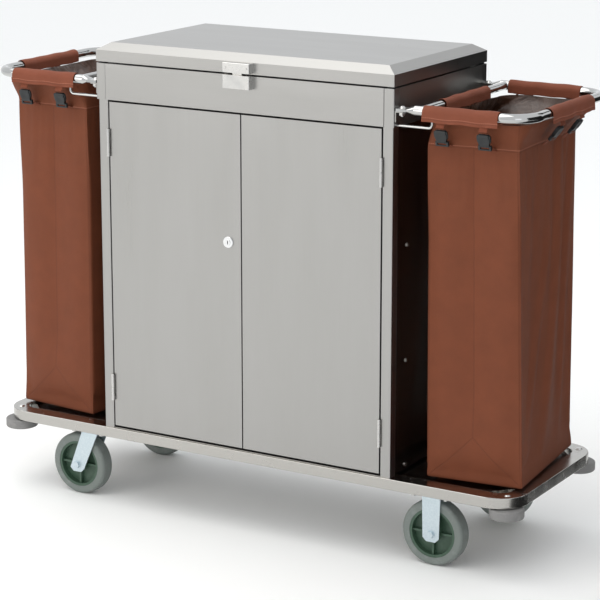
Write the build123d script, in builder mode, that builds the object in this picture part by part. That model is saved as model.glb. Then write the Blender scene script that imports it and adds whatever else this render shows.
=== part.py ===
"""Housekeeping cart: a steel cabinet on a bumper-ring base, with a bag hung from a tube hoop at each end.

Millimetres. +X is the cart's right, the doors face -Y, +Z is up, and the origin is on the floor
under the middle of the cart.
"""

import os

from build123d import *

os.makedirs("parts", exist_ok=True)

# ---- Driving dimensions -------------------------------------------------------------------------
# Cabinet
TRAY_WIDTH = 772.0  # the top tray and the lid stand proud of the posts below
TRAY_DEPTH = 444.0
TRAY_PROUD = 3.5
TRAY_HEIGHT = 83.0
POST_HEIGHT = 783.0
POST_SIZE = 25.0
POST_WALL = 1.5
SHEET = 1.2
PANEL_RECESS = 6.0  # side and back panels sit back from the posts' faces

# Base ring: rounded frame of rectangular tube that carries everything
DECK_LENGTH = 301.0  # from the tray's side to the ring's end
RING_PROUD = 1.0  # the ring's long sides stand out past the tray
RING_TUBE_W = 38.0
RING_TUBE_H = 25.0
RING_WALL = 1.5
RING_CORNER_R = 68.0
PAN_DROP = 7.0  # deck pan floor below the ring's top

# Doors
DOOR_THICKNESS = 20.0
DOOR_SIDE_GAP = 3.0
DOOR_MEETING_GAP = 2.5
DOOR_BOTTOM_GAP = 7.0
DOOR_TOP_GAP = 5.0
HINGE_LENGTH = 64.0
HINGE_BARREL_R = 3.75
HINGE_PIN_R = 2.0
HINGE_END_INSET = 62.0  # from a door's end to the near end of its hinge
RUNNING_CLEARANCE = 0.05
PRESS_CLEARANCE = 0.02
LOCK_INSET = 34.0  # lock axis from the doors' meeting line
LOCK_HEIGHT = 479.0  # lock axis above the door's bottom
LOCK_BODY_R = 9.0
LOCK_PLUG_R = 6.5
CAM_LENGTH = 48.0

# Shelves
SHELF_FLANGE = 20.0
SHELF_SETBACK = 33.0  # front edge of a shelf behind the posts' faces
SCREW_R = 2.5
SCREW_INSET = 81.5  # from the posts' faces to the screws

# Lid
LID_GAP = 4.0
LID_SIDE = 26.0
LID_RISE = 16.0
LID_BEVEL = 26.0
LID_HINGE_LENGTH = 680.0
LID_KNUCKLES = 17
LID_BARREL_R = 3.4
LID_PIN_R = 1.5
LATCH_WIDTH = 70.0
LATCH_DEPTH = 17.0
TONGUE_REACH = 16.0

# Bag hoops
HOOP_DROP = 44.0  # tube axis below the tray's top
HOOP_LENGTH = 303.0  # from the tray's side to the tube axis at the outer end
HOOP_INSET = 14.0  # arm axis inside the tray's front and back faces
HOOP_TUBE_R = 11.0
HOOP_WALL = 1.5
HOOP_BEND_R = 60.0
CROSSBAR_OUT = 55.0  # crossbar axis from the tray's side
CROSSBAR_R = 9.5
BLADE_THICKNESS = 6.0
BLADE_WIDTH = 30.0
BRACKET_THICKNESS = 3.0
ARM_BOLT_R = 4.0
STAY_R = 3.0
STAY_REACH = 84.0  # from the tray's side to the upright of the wire stay

# Bags
BAG_WIDTH = 225.0
BAG_SLACK = 66.0  # the bag's body is this much shallower than the hoop
BAG_OUT = 159.0  # middle of the bag from the tray's side
BAG_Y = 12.0
BAG_LIFT = 3.0  # bottom of the bag above the ring's top
BAND_DROP = 75.0  # band and rim below the hoop's axis
RIM_DROP = 16.0
BAG_WALL = 3.0
BAG_CORNER_R = 12.0
SLEEVE_LENGTH_END = 216.0
SLEEVE_LENGTH_SIDE = 176.0
SLEEVE_OUT = 154.0  # middle of the arms' sleeves from the tray's side
SLEEVE_THICKNESS = 2.2
FLAP_DROP = 20.0  # hem of the flap below the tube's axis
BUCKLE_WIDTH = 30.0
BUCKLE_LENGTH = 46.0
BUCKLE_THICKNESS = 8.0
BUCKLE_CORNER_R = 4.0
BUCKLE_NOTCH_UP = 4.0  # middle of the release notches above the buckle's middle
BUCKLE_NOTCH_LENGTH = 16.0
BUCKLE_NOTCH_WIDTH = 5.0
BUCKLE_PITCH = 100.0
STRAP_GAP = 2.0  # between the crossbar's straps and the bar's face

# Casters
WHEEL_R = 75.0
WHEEL_WIDTH = 38.0
TYRE_DEPTH = 19.0
TYRE_SHOULDER = 8.0
HUB_WIDTH = 42.0
HUB_RIM = 6.0
HUB_BOSS_R = 19.0
HUB_BEARING_R = 15.0
HUB_WEB = 8.0  # thickness of the disc between the faces' hollows
HUB_RIBS = 4
HUB_RIB = 5.0
HUB_RIB_BACK = 6.0  # ribs and disc start this far inside the tyre's face
AXLE_R = 5.0
HEADROOM = 19.0  # from the top of the wheel to the top of the caster's plate
CASTER_INSET = 51.0  # from the ring's long side to a caster's middle
RIGID_INSET = 213.0  # from the ring's end to a caster's middle
SWIVEL_INSET = 240.0
SWIVEL_TRAIL = 38.0
PLATE_LENGTH = 105.0
PLATE_WIDTH = 84.0
PLATE_THICKNESS = 3.0
PLATE_BOLT_X = 80.0
PLATE_BOLT_Y = 60.0
PLATE_BOLT_R = 4.0
FORK_THICKNESS = 3.0
FORK_LEG_WIDTH = 45.0
FORK_FOOT_WIDTH = 40.0
FORK_FOOT_DROP = 18.0  # foot of a leg below the axle
FORK_FOOT_CUT = 9.0  # corners cut off the foot
RAIL_WIDTH = 110.0
RAIL_WALL = 2.0

# Bumper rollers
ROLLER_R = 38.5
ROLLER_THICKNESS = 22.0
ROLLER_GAP = 2.0
ROLLER_BOLT_R = 5.0

# ---- Places worked out from the driving dimensions ----------------------------------------------
RING_LENGTH = TRAY_WIDTH + 2 * DECK_LENGTH
RING_WIDTH = TRAY_DEPTH + 2 * RING_PROUD
RING_BOTTOM = 2 * WHEEL_R + HEADROOM
RING_TOP = RING_BOTTOM + RING_TUBE_H
PAN_TOP = RING_TOP - PAN_DROP
RAIL_TOP = PAN_TOP - SHEET
TRAY_BOTTOM = RING_TOP + POST_HEIGHT
TRAY_TOP = TRAY_BOTTOM + TRAY_HEIGHT
POST_X = TRAY_WIDTH / 2 - TRAY_PROUD  # outer faces of the posts
POST_Y = TRAY_DEPTH / 2 - TRAY_PROUD
PANEL_X = POST_X - PANEL_RECESS  # outer face of the side panels
PANEL_Y = POST_Y - PANEL_RECESS
PANEL_IN_X = PANEL_X - SHEET
PANEL_IN_Y = PANEL_Y - SHEET
DOOR_FRONT = -POST_Y
DOOR_BACK = DOOR_FRONT + DOOR_THICKNESS
DOOR_BOTTOM = RING_TOP + DOOR_BOTTOM_GAP
DOOR_TOP = TRAY_BOTTOM - DOOR_TOP_GAP
DOOR_HEIGHT = DOOR_TOP - DOOR_BOTTOM
DOOR_OUTER_X = POST_X - POST_SIZE - DOOR_SIDE_GAP
DOOR_INNER_X = DOOR_MEETING_GAP / 2
HINGE_X = DOOR_OUTER_X + DOOR_SIDE_GAP / 2
HINGE_Y = DOOR_FRONT - HINGE_BARREL_R - 0.75
HINGE_Z = (DOOR_BOTTOM + HINGE_END_INSET, DOOR_TOP - HINGE_END_INSET - HINGE_LENGTH)
LOCK_X = -LOCK_INSET
LOCK_Z = DOOR_BOTTOM + LOCK_HEIGHT
BAY = (TRAY_BOTTOM - RING_TOP) / 3
SHELF_Z = (RING_TOP + BAY, RING_TOP + 2 * BAY)
SCREW_SPACING = 2 * (POST_Y - SCREW_INSET)
LID_BOTTOM = TRAY_TOP + LID_GAP
LID_SHOULDER = LID_BOTTOM + LID_SIDE
LID_TOP = LID_SHOULDER + LID_RISE
LID_HINGE_Z = TRAY_TOP + LID_GAP / 2
LID_HINGE_Y = TRAY_DEPTH / 2 + SHEET + LID_BARREL_R - 0.2
HOOP_Z = TRAY_TOP - HOOP_DROP
HOOP_REACH = TRAY_WIDTH / 2 + HOOP_LENGTH
HOOP_HALF_WIDTH = TRAY_DEPTH / 2 - HOOP_INSET
CROSSBAR_X = TRAY_WIDTH / 2 + CROSSBAR_OUT
BAG_DEPTH = 2 * HOOP_HALF_WIDTH - BAG_SLACK
BAG_X = TRAY_WIDTH / 2 + BAG_OUT
BAG_BOTTOM = RING_TOP + BAG_LIFT
BAG_BAND = HOOP_Z - BAND_DROP
BAG_RIM = HOOP_Z - RIM_DROP
SLEEVE_X = TRAY_WIDTH / 2 + SLEEVE_OUT
HUB_R = WHEEL_R - TYRE_DEPTH
CASTER_Y = RING_WIDTH / 2 - CASTER_INSET
RIGID_X = RING_LENGTH / 2 - RIGID_INSET
SWIVEL_X = RING_LENGTH / 2 - SWIVEL_INSET  # to the left of the middle
PLATE_TOP = RING_BOTTOM
PLATE_BOTTOM = PLATE_TOP - PLATE_THICKNESS
FORK_INSIDE = HUB_WIDTH / 2 + 1.0
FORK_OUTSIDE = FORK_INSIDE + FORK_THICKNESS
ROLLER_TOP = RING_BOTTOM - ROLLER_GAP
ROLLER_BOTTOM = ROLLER_TOP - ROLLER_THICKNESS
CORNER_REACH = (RING_CORNER_R - RING_TUBE_W / 2) * 0.5**0.5
ROLLER_X = RING_LENGTH / 2 - RING_CORNER_R + CORNER_REACH
ROLLER_Y = RING_WIDTH / 2 - RING_CORNER_R + CORNER_REACH
ARM_BOLT_X = TRAY_WIDTH / 2 + 12.0
FOUR = [(1, -1), (1, 1), (-1, -1), (-1, 1)]


def write(part, name):
    """Labels one finished piece and writes it as its own STEP file."""
    part.label = name
    export_step(part, f"parts/{name}.step")


def write_set(parts, name):
    """Writes pieces that touch but stay separate solids as one node."""
    write(Compound(children=parts), name)


def block(x0, x1, y0, y1, z0, z1, mode=Mode.ADD):
    """Adds a box between two corners to the current part."""
    with Locations(((x0 + x1) / 2, (y0 + y1) / 2, (z0 + z1) / 2)):
        Box(abs(x1 - x0), abs(y1 - y0), abs(z1 - z0), mode=mode)


def rod(radius, x, y, z0, z1, mode=Mode.ADD):
    """Adds an upright cylinder to the current part."""
    with Locations((x, y, z0)):
        Cylinder(radius, z1 - z0, align=(Align.CENTER, Align.CENTER, Align.MIN), mode=mode)


def rod_y(radius, x, y0, y1, z, mode=Mode.ADD):
    """Adds a cylinder that lies along Y to the current part."""
    with Locations(Location((x, (y0 + y1) / 2, z), (90, 0, 0))):
        Cylinder(radius, abs(y1 - y0), mode=mode)


def rod_x(radius, x0, x1, y, z, mode=Mode.ADD):
    """Adds a cylinder that lies along X to the current part."""
    with Locations(Location(((x0 + x1) / 2, y, z), (0, 90, 0))):
        Cylinder(radius, abs(x1 - x0), mode=mode)


# ---- Base ---------------------------------------------------------------------------------------
def ring_outline(inset):
    """Rounded rectangle of the ring, moved inwards from its outer face."""
    RectangleRounded(RING_LENGTH - 2 * inset, RING_WIDTH - 2 * inset, RING_CORNER_R - inset)


def make_base_ring():
    """Rectangular tube bent to a rounded ring; drilled for the rollers and the outer caster bolts."""
    with BuildPart() as ring:
        with BuildSketch(Plane.XY.offset(RING_BOTTOM)):
            ring_outline(0)
            with BuildSketch(mode=Mode.SUBTRACT):
                ring_outline(RING_TUBE_W)
        extrude(amount=RING_TUBE_H)
        fillet(ring.edges().group_by(Axis.Z)[0], RING_WALL)
        fillet(ring.edges().group_by(Axis.Z)[-1], RING_WALL)
        with BuildSketch(Plane.XY.offset(RING_BOTTOM + RING_WALL)):
            ring_outline(RING_WALL)
            with BuildSketch(mode=Mode.SUBTRACT):
                ring_outline(RING_TUBE_W - RING_WALL)
        extrude(amount=RING_TUBE_H - 2 * RING_WALL, mode=Mode.SUBTRACT)
        for sx, sy in FOUR:
            rod(ROLLER_BOLT_R + 0.1, sx * ROLLER_X, sy * ROLLER_Y, RING_BOTTOM - 1, RING_TOP + 1, Mode.SUBTRACT)
        for x in (RIGID_X, -SWIVEL_X):
            for side in (-1, 1):
                for dx in (-PLATE_BOLT_X / 2, PLATE_BOLT_X / 2):
                    y = side * (CASTER_Y + PLATE_BOLT_Y / 2)
                    rod(PLATE_BOLT_R + 0.1, x + dx, y, RING_BOTTOM - 1, RING_BOTTOM + 2 * RING_WALL, Mode.SUBTRACT)
    write(ring.part, "base_ring")


def make_caster_rails():
    """Flat box rails across the ring that carry the pans and the inner caster bolts."""
    inner_y = RING_WIDTH / 2 - RING_TUBE_W
    with BuildPart() as rails:
        for x in (RIGID_X, -SWIVEL_X):
            block(x - RAIL_WIDTH / 2, x + RAIL_WIDTH / 2, -inner_y, inner_y, RING_BOTTOM, RAIL_TOP)
            block(
                x - RAIL_WIDTH / 2 + RAIL_WALL,
                x + RAIL_WIDTH / 2 - RAIL_WALL,
                -inner_y,
                inner_y,
                RING_BOTTOM + RAIL_WALL,
                RAIL_TOP - RAIL_WALL,
                Mode.SUBTRACT,
            )
            for side in (-1, 1):
                for dx in (-PLATE_BOLT_X / 2, PLATE_BOLT_X / 2):
                    y = side * (CASTER_Y - PLATE_BOLT_Y / 2)
                    rod(PLATE_BOLT_R + 0.1, x + dx, y, RING_BOTTOM - 1, RING_BOTTOM + 2 * RAIL_WALL, Mode.SUBTRACT)
    write(rails.part, "caster_rails")


def make_deck_pans():
    """Shallow folded pan at each end of the ring, with its outer corners cut off inside the ring's bends."""
    inner_x = RING_LENGTH / 2 - RING_TUBE_W - 0.2
    inner_y = RING_WIDTH / 2 - RING_TUBE_W - 0.2
    start_x = POST_X - POST_SIZE
    cut = RING_CORNER_R - RING_TUBE_W + 14.0
    with BuildPart() as pans:
        for side in (-1, 1):
            for inset, bottom, mode in ((0, PAN_TOP - SHEET, Mode.ADD), (SHEET, PAN_TOP, Mode.SUBTRACT)):
                with BuildSketch(Plane.XY.offset(bottom)):
                    with BuildLine():
                        Polyline(
                            (side * (start_x + inset), -inner_y + inset),
                            (side * (inner_x - cut), -inner_y + inset),
                            (side * (inner_x - inset), -inner_y + cut),
                            (side * (inner_x - inset), inner_y - cut),
                            (side * (inner_x - cut), inner_y - inset),
                            (side * (start_x + inset), inner_y - inset),
                            close=True,
                        )
                    make_face()
                extrude(amount=RING_TOP - bottom + (1 if mode == Mode.SUBTRACT else 0), mode=mode)
    write(pans.part, "deck_pans")


def make_cabinet_floor():
    """Floor sheet on the ring, notched round the posts, with side flanges that take the panel screws."""
    with BuildPart() as floor:
        block(-PANEL_IN_X, PANEL_IN_X, -POST_Y + 2, PANEL_IN_Y, RING_TOP, RING_TOP + SHEET)
        for side in (-1, 1):
            x = side * PANEL_IN_X
            y = POST_Y - POST_SIZE - 1
            block(x, x - side * SHEET, -y, y, RING_TOP, RING_TOP + SHELF_FLANGE)
            for dy in (-SCREW_SPACING / 2, SCREW_SPACING / 2):
                rod_x(SCREW_R + 0.1, x - 5, x + 5, dy, RING_TOP + SHELF_FLANGE / 2, Mode.SUBTRACT)
        for sx, sy in FOUR:
            corner = POST_SIZE + 0.2
            block(
                sx * POST_X,
                sx * (POST_X - corner),
                sy * POST_Y,
                sy * (POST_Y - corner),
                RING_TOP,
                RING_TOP + SHEET,
                Mode.SUBTRACT,
            )
    write(floor.part, "cabinet_floor")


# ---- Cabinet ------------------------------------------------------------------------------------
def square_tube(x, y, size, z0, z1, wall):
    """Adds an upright square tube, open at both ends, centred on x, y."""
    with BuildSketch(Plane.XY.offset(z0)) as section:
        with Locations((x, y)):
            RectangleRounded(size, size, 2.0)
            Rectangle(size - 2 * wall, size - 2 * wall, mode=Mode.SUBTRACT)
    extrude(section.sketch, amount=z1 - z0)


def make_corner_posts():
    with BuildPart() as posts:
        for sx, sy in FOUR:
            x = sx * (POST_X - POST_SIZE / 2)
            y = sy * (POST_Y - POST_SIZE / 2)
            square_tube(x, y, POST_SIZE, RING_TOP, TRAY_BOTTOM, POST_WALL)
    write(posts.part, "corner_posts")


def screw_places():
    """Heights and distances along Y of the screws in each side panel."""
    heights = [RING_TOP + SHELF_FLANGE / 2] + [z - SHELF_FLANGE / 2 for z in SHELF_Z]
    return [(y, z) for z in heights for y in (-SCREW_SPACING / 2, SCREW_SPACING / 2)]


def make_side_panels():
    """Recessed side sheets with edges folded inwards against the posts."""
    y = POST_Y - POST_SIZE
    with BuildPart() as panels:
        for side in (-1, 1):
            outer = side * PANEL_X
            inner = side * PANEL_IN_X
            block(outer, inner, -y, y, RING_TOP, TRAY_BOTTOM)
            for dy, z in screw_places():
                rod_x(SCREW_R + 0.1, outer - 5, outer + 5, dy, z, Mode.SUBTRACT)
    write(panels.part, "side_panels")


def make_back_panel():
    x = POST_X - POST_SIZE
    with BuildPart() as panel:
        block(-x, x, PANEL_IN_Y, PANEL_Y, RING_TOP + SHEET, TRAY_BOTTOM)
        for side in (-1, 1):
            block(side * x, side * (x - SHEET), PANEL_IN_Y - 12, PANEL_Y, RING_TOP + SHEET, TRAY_BOTTOM)
    write(panel.part, "back_panel")


def make_shelves():
    """Two shelves with flanges folded down on all four edges, between the side panels."""
    x = PANEL_IN_X
    y0 = -POST_Y + SHELF_SETBACK
    y1 = POST_Y - POST_SIZE
    with BuildPart() as shelves:
        for top in SHELF_Z:
            block(-x, x, y0, y1, top - SHELF_FLANGE, top)
            block(-x + SHEET, x - SHEET, y0 + SHEET, y1 - SHEET, top - SHELF_FLANGE, top - SHEET, Mode.SUBTRACT)
            for dy in (-SCREW_SPACING / 2, SCREW_SPACING / 2):
                rod_x(SCREW_R + 0.1, -x - 5, -x + 5, dy, top - SHELF_FLANGE / 2, Mode.SUBTRACT)
                rod_x(SCREW_R + 0.1, x - 5, x + 5, dy, top - SHELF_FLANGE / 2, Mode.SUBTRACT)
    write(shelves.part, "shelves")


def make_panel_screws():
    """Pan-head screws through the side panels into the floor and shelf flanges."""
    with BuildPart() as screws:
        for side in (-1, 1):
            for y, z in screw_places():
                rod_x(SCREW_R, side * (PANEL_X + 1), side * (PANEL_IN_X - SHEET - 5), y, z)
                rod_x(4.8, side * PANEL_X, side * (PANEL_X + 2.6), y, z)
                block(
                    side * (PANEL_X + 1.4),
                    side * (PANEL_X + 3),
                    y - 0.5,
                    y + 0.5,
                    z - 3.2,
                    z + 3.2,
                    Mode.SUBTRACT,
                )
    write(screws.part, "panel_screws")


# ---- Tray ---------------------------------------------------------------------------------------
def make_tray_corners():
    with BuildPart() as corners:
        for sx, sy in FOUR:
            x = sx * (TRAY_WIDTH / 2 - POST_SIZE / 2)
            y = sy * (TRAY_DEPTH / 2 - POST_SIZE / 2)
            square_tube(x, y, POST_SIZE, TRAY_BOTTOM, TRAY_TOP, POST_WALL)
    write(corners.part, "tray_corners")


def channel_y(side, half_length):
    """Adds a C-shaped panel along X whose web is the tray's outer face on that side."""
    outer = side * TRAY_DEPTH / 2
    flange = side * (TRAY_DEPTH / 2 - POST_SIZE + 3)
    block(-half_length, half_length, outer, flange, TRAY_BOTTOM, TRAY_TOP)
    block(
        -half_length - 1,
        half_length + 1,
        outer - side * SHEET,
        flange - side,
        TRAY_BOTTOM + SHEET,
        TRAY_TOP - SHEET,
        Mode.SUBTRACT,
    )


def make_tray_panels():
    half = TRAY_WIDTH / 2 - POST_SIZE - 0.2
    with BuildPart() as front:
        channel_y(-1, half)
    write(front.part, "tray_front_panel")
    with BuildPart() as back:
        channel_y(1, half)
    write(back.part, "tray_back_panel")
    length = TRAY_DEPTH / 2 - POST_SIZE - 0.2
    with BuildPart() as sides:
        for side in (-1, 1):
            outer = side * TRAY_WIDTH / 2
            flange = side * (TRAY_WIDTH / 2 - POST_SIZE + 3)
            block(outer, flange, -length, length, TRAY_BOTTOM, TRAY_TOP)
            block(
                outer - side * SHEET,
                flange - side,
                -length - 1,
                length + 1,
                TRAY_BOTTOM + SHEET,
                TRAY_TOP - SHEET,
                Mode.SUBTRACT,
            )
    write(sides.part, "tray_side_panels")


def make_tray_floor():
    """Liner floor of the tray, on the panels' bottom flanges, notched round the corner tubes."""
    x = TRAY_WIDTH / 2 - SHEET
    y = TRAY_DEPTH / 2 - SHEET
    bottom = TRAY_BOTTOM + SHEET
    with BuildPart() as floor:
        block(-x, x, -y, y, bottom, bottom + SHEET)
        for sx, sy in FOUR:
            corner = POST_SIZE + 0.2
            block(
                sx * TRAY_WIDTH / 2,
                sx * (TRAY_WIDTH / 2 - corner),
                sy * TRAY_DEPTH / 2,
                sy * (TRAY_DEPTH / 2 - corner),
                bottom,
                bottom + SHEET,
                Mode.SUBTRACT,
            )
    write(floor.part, "tray_floor")


def make_lid_pads():
    """Rubber buttons in the tray's corner tubes that the closed lid rests on."""
    with BuildPart() as pads:
        for sx, sy in FOUR:
            x = sx * (TRAY_WIDTH / 2 - POST_SIZE / 2)
            y = sy * (TRAY_DEPTH / 2 - POST_SIZE / 2)
            opening = POST_SIZE - 2 * POST_WALL - 0.2
            block(x - opening / 2, x + opening / 2, y - opening / 2, y + opening / 2, TRAY_TOP - 6, TRAY_TOP)
            rod(POST_SIZE / 2 - 2, x, y, TRAY_TOP, LID_BOTTOM - 0.3)
    write(pads.part, "lid_pads")


# ---- Lid ----------------------------------------------------------------------------------------
def lid_body(inset, bottom, mode):
    """Adds or cuts the lid's form: upright sides and a wide bevel up to a flat top."""
    width = TRAY_WIDTH - 2 * inset
    depth = TRAY_DEPTH - 2 * inset
    with BuildSketch(Plane.XY.offset(bottom)) as side:
        Rectangle(width, depth)
    extrude(side.sketch, amount=LID_SHOULDER - bottom, mode=mode)
    with BuildSketch(Plane.XY.offset(LID_SHOULDER)) as shoulder:
        Rectangle(width, depth)
    with BuildSketch(Plane.XY.offset(LID_TOP - inset)) as top:
        Rectangle(width - 2 * LID_BEVEL, depth - 2 * LID_BEVEL)
    loft([shoulder.sketch, top.sketch], mode=mode)


def make_lid():
    with BuildPart() as shell:
        lid_body(0, LID_BOTTOM, Mode.ADD)
        lid_body(SHEET, LID_BOTTOM - 1, Mode.SUBTRACT)
    write(shell.part, "lid_shell")
    x = TRAY_WIDTH / 2 - SHEET - 0.1
    y = TRAY_DEPTH / 2 - SHEET - 0.1
    with BuildPart() as liner:
        block(-x, x, -y, y, LID_BOTTOM, LID_BOTTOM + 14)
        block(-x + SHEET, x - SHEET, -y + SHEET, y - SHEET, LID_BOTTOM + SHEET, LID_BOTTOM + 15, Mode.SUBTRACT)
    write(liner.part, "lid_liner")


def lid_hinge_half(first, leaf_z0, leaf_z1, bore_r):
    """Adds one leaf and every second knuckle of the lid's long hinge."""
    pitch = LID_HINGE_LENGTH / LID_KNUCKLES
    face = TRAY_DEPTH / 2
    up = 1 if leaf_z1 > LID_HINGE_Z else -1
    half = LID_HINGE_LENGTH / 2
    block(-half, half, face, face + SHEET, leaf_z0, leaf_z1)
    near = leaf_z0 if up > 0 else leaf_z1
    for k in range(first, LID_KNUCKLES, 2):
        x0 = -half + k * pitch + 0.2
        x1 = x0 + pitch - 0.4
        block(x0, x1, face, face + SHEET, min(LID_HINGE_Z, near), max(LID_HINGE_Z, near))
        rod_x(LID_BARREL_R, x0, x1, LID_HINGE_Y, LID_HINGE_Z)
    rod_x(bore_r, -half, half, LID_HINGE_Y, LID_HINGE_Z, Mode.SUBTRACT)


def make_lid_hinge():
    reach = LID_BARREL_R + 0.8
    with BuildPart() as base:
        lid_hinge_half(0, LID_HINGE_Z - 24, LID_HINGE_Z - reach, LID_PIN_R + PRESS_CLEARANCE)
    with BuildPart() as leaf:
        lid_hinge_half(1, LID_HINGE_Z + reach, LID_HINGE_Z + 22, LID_PIN_R + RUNNING_CLEARANCE)
    write(leaf.part, "lid_hinge_leaf")
    half = LID_HINGE_LENGTH / 2
    with BuildPart() as pin:
        rod_x(LID_PIN_R, -half, half, LID_HINGE_Y, LID_HINGE_Z)
    write_set([base.part, pin.part], "lid_hinge_base")


def make_latch():
    """Two folded blocks on the front: a pull with a strike tongue on the lid, a magnet case on the tray."""
    front = -TRAY_DEPTH / 2
    out = front - LATCH_DEPTH
    half = LATCH_WIDTH / 2
    tongue_y = front - LATCH_DEPTH / 2
    pull_bottom = LID_BOTTOM + 3
    case_top = TRAY_TOP + 2
    with BuildPart() as pull:
        block(-half, half, out, front, pull_bottom, pull_bottom + 22)
        fillet(pull.edges().filter_by(Axis.Z).group_by(Axis.Y)[0], 2.0)
        chamfer(pull.edges().group_by(Axis.Z)[-1].group_by(Axis.Y)[0], 1.0)
        block(-12, 12, tongue_y - 1.5, tongue_y + 1.5, pull_bottom - TONGUE_REACH, pull_bottom)
        for x in (-half + 8, half - 8):
            rod_y(2.6, x, out - 1.2, out + 0.5, pull_bottom + 11)
    write(pull.part, "latch_pull")
    with BuildPart() as case:
        block(-half, half, out, front, case_top - 30, case_top)
        fillet(case.edges().filter_by(Axis.Z).group_by(Axis.Y)[0], 2.0)
        block(-15, 15, tongue_y - 3.5, tongue_y + 3.5, case_top - 24, case_top, Mode.SUBTRACT)
    with BuildPart() as magnet:
        block(-14.8, 14.8, tongue_y - 3.3, tongue_y + 3.3, case_top - 24, case_top - 14)
    write_set([case.part, magnet.part], "latch_case")


# ---- Doors --------------------------------------------------------------------------------------
def make_door(side, name):
    """Door of two trays: an outer skin with folded edges and a flat liner let into its back."""
    x0 = side * DOOR_INNER_X
    x1 = side * DOOR_OUTER_X
    with BuildPart() as skin:
        block(x0, x1, DOOR_FRONT, DOOR_BACK, DOOR_BOTTOM, DOOR_TOP)
        fillet(skin.edges().filter_by(Axis.Z).group_by(Axis.Y)[0], 1.0)
        block(
            x0 + side * SHEET,
            x1 - side * SHEET,
            DOOR_FRONT + SHEET,
            DOOR_BACK,
            DOOR_BOTTOM + SHEET,
            DOOR_TOP - SHEET,
            Mode.SUBTRACT,
        )
        if side < 0:
            rod_y(LOCK_BODY_R, LOCK_X, DOOR_FRONT - 1, DOOR_FRONT + 5, LOCK_Z, Mode.SUBTRACT)
    write(skin.part, f"{name}_skin")
    fit = SHEET + 0.1
    with BuildPart() as liner:
        block(
            x0 + side * fit,
            x1 - side * fit,
            DOOR_BACK - SHEET,
            DOOR_BACK,
            DOOR_BOTTOM + fit,
            DOOR_TOP - fit,
        )
        if side < 0:
            rod_y(LOCK_BODY_R + 1.5, LOCK_X, DOOR_BACK - 5, DOOR_BACK + 1, LOCK_Z, Mode.SUBTRACT)
    write(liner.part, f"{name}_liner")


def hinge_half(side, bottom, moving):
    """Adds one half of a lift-off hinge: a leaf in the gap beside the door and its half of the barrel."""
    middle = bottom + HINGE_LENGTH / 2
    z0, z1 = (middle + 0.2, bottom + HINGE_LENGTH) if moving else (bottom, middle - 0.2)
    away = -side if moving else side
    x0 = HINGE_X * side
    x1 = x0 + away * DOOR_SIDE_GAP / 2
    near = HINGE_Y + HINGE_BARREL_R + 0.5
    block(x0 + away * 0.1, x1, near, DOOR_FRONT + 19, bottom, bottom + HINGE_LENGTH)
    block(x0 + away * 0.1, x1, HINGE_Y, near, z0, z1)
    rod(HINGE_BARREL_R, x0, HINGE_Y, z0, z1)
    clearance = RUNNING_CLEARANCE if moving else PRESS_CLEARANCE
    rod(HINGE_PIN_R + clearance, x0, HINGE_Y, z0, z1, Mode.SUBTRACT)


def make_door_hinges():
    with BuildPart() as fixed:
        for side in (-1, 1):
            for bottom in HINGE_Z:
                hinge_half(side, bottom, False)
    with BuildPart() as pins:
        for side in (-1, 1):
            for bottom in HINGE_Z:
                rod(HINGE_PIN_R, side * HINGE_X, HINGE_Y, bottom, bottom + HINGE_LENGTH - 1)
    write_set([fixed.part, pins.part], "door_hinge_bases")
    for side, name in ((-1, "left_door"), (1, "right_door")):
        with BuildPart() as moving:
            for bottom in HINGE_Z:
                hinge_half(side, bottom, True)
        write(moving.part, f"{name}_hinges")


def make_lock():
    """Cam lock: threaded housing and nut in the left door, a plug with a key slot, and the cam it turns."""
    rose = DOOR_FRONT - 3.0
    tail = DOOR_BACK + 0.4
    with BuildPart() as housing:
        rod_y(LOCK_BODY_R - 0.1, LOCK_X, DOOR_FRONT, DOOR_BACK, LOCK_Z)
        rod_y(13.0, LOCK_X, rose, DOOR_FRONT, LOCK_Z)
        fillet(housing.edges().group_by(Axis.Y)[0], 1.2)
        with BuildSketch(Plane.XZ.offset(-DOOR_FRONT - SHEET)):
            with Locations((LOCK_X, LOCK_Z)):
                RegularPolygon(12.0, 6)
        extrude(amount=-4.0)
        rod_y(LOCK_PLUG_R + RUNNING_CLEARANCE, LOCK_X, rose - 1, DOOR_BACK + 1, LOCK_Z, Mode.SUBTRACT)
    write(housing.part, "lock_housing")
    with BuildPart() as plug:
        rod_y(LOCK_PLUG_R, LOCK_X, rose - 1.0, tail, LOCK_Z)
        fillet(plug.edges().group_by(Axis.Y)[0], 0.6)
        block(LOCK_X - 3.2, LOCK_X + 3.2, tail, tail + 3.0, LOCK_Z - 3.2, LOCK_Z + 3.2)
        block(LOCK_X - 1.0, LOCK_X + 1.0, rose - 2.0, rose + 9.0, LOCK_Z - 4.2, LOCK_Z + 4.2, Mode.SUBTRACT)
    write(plug.part, "lock_plug")
    with BuildPart() as cam:
        with BuildSketch(Plane.XZ.offset(-tail)):
            with Locations((LOCK_X, LOCK_Z + (CAM_LENGTH - 9) / 2)):
                SlotOverall(CAM_LENGTH + 9, 18, rotation=90)
        extrude(amount=-2.5)
        hole = 3.25
        block(LOCK_X - hole, LOCK_X + hole, tail - 1, tail + 4, LOCK_Z - hole, LOCK_Z + hole, Mode.SUBTRACT)
    write(cam.part, "lock_cam")


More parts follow.
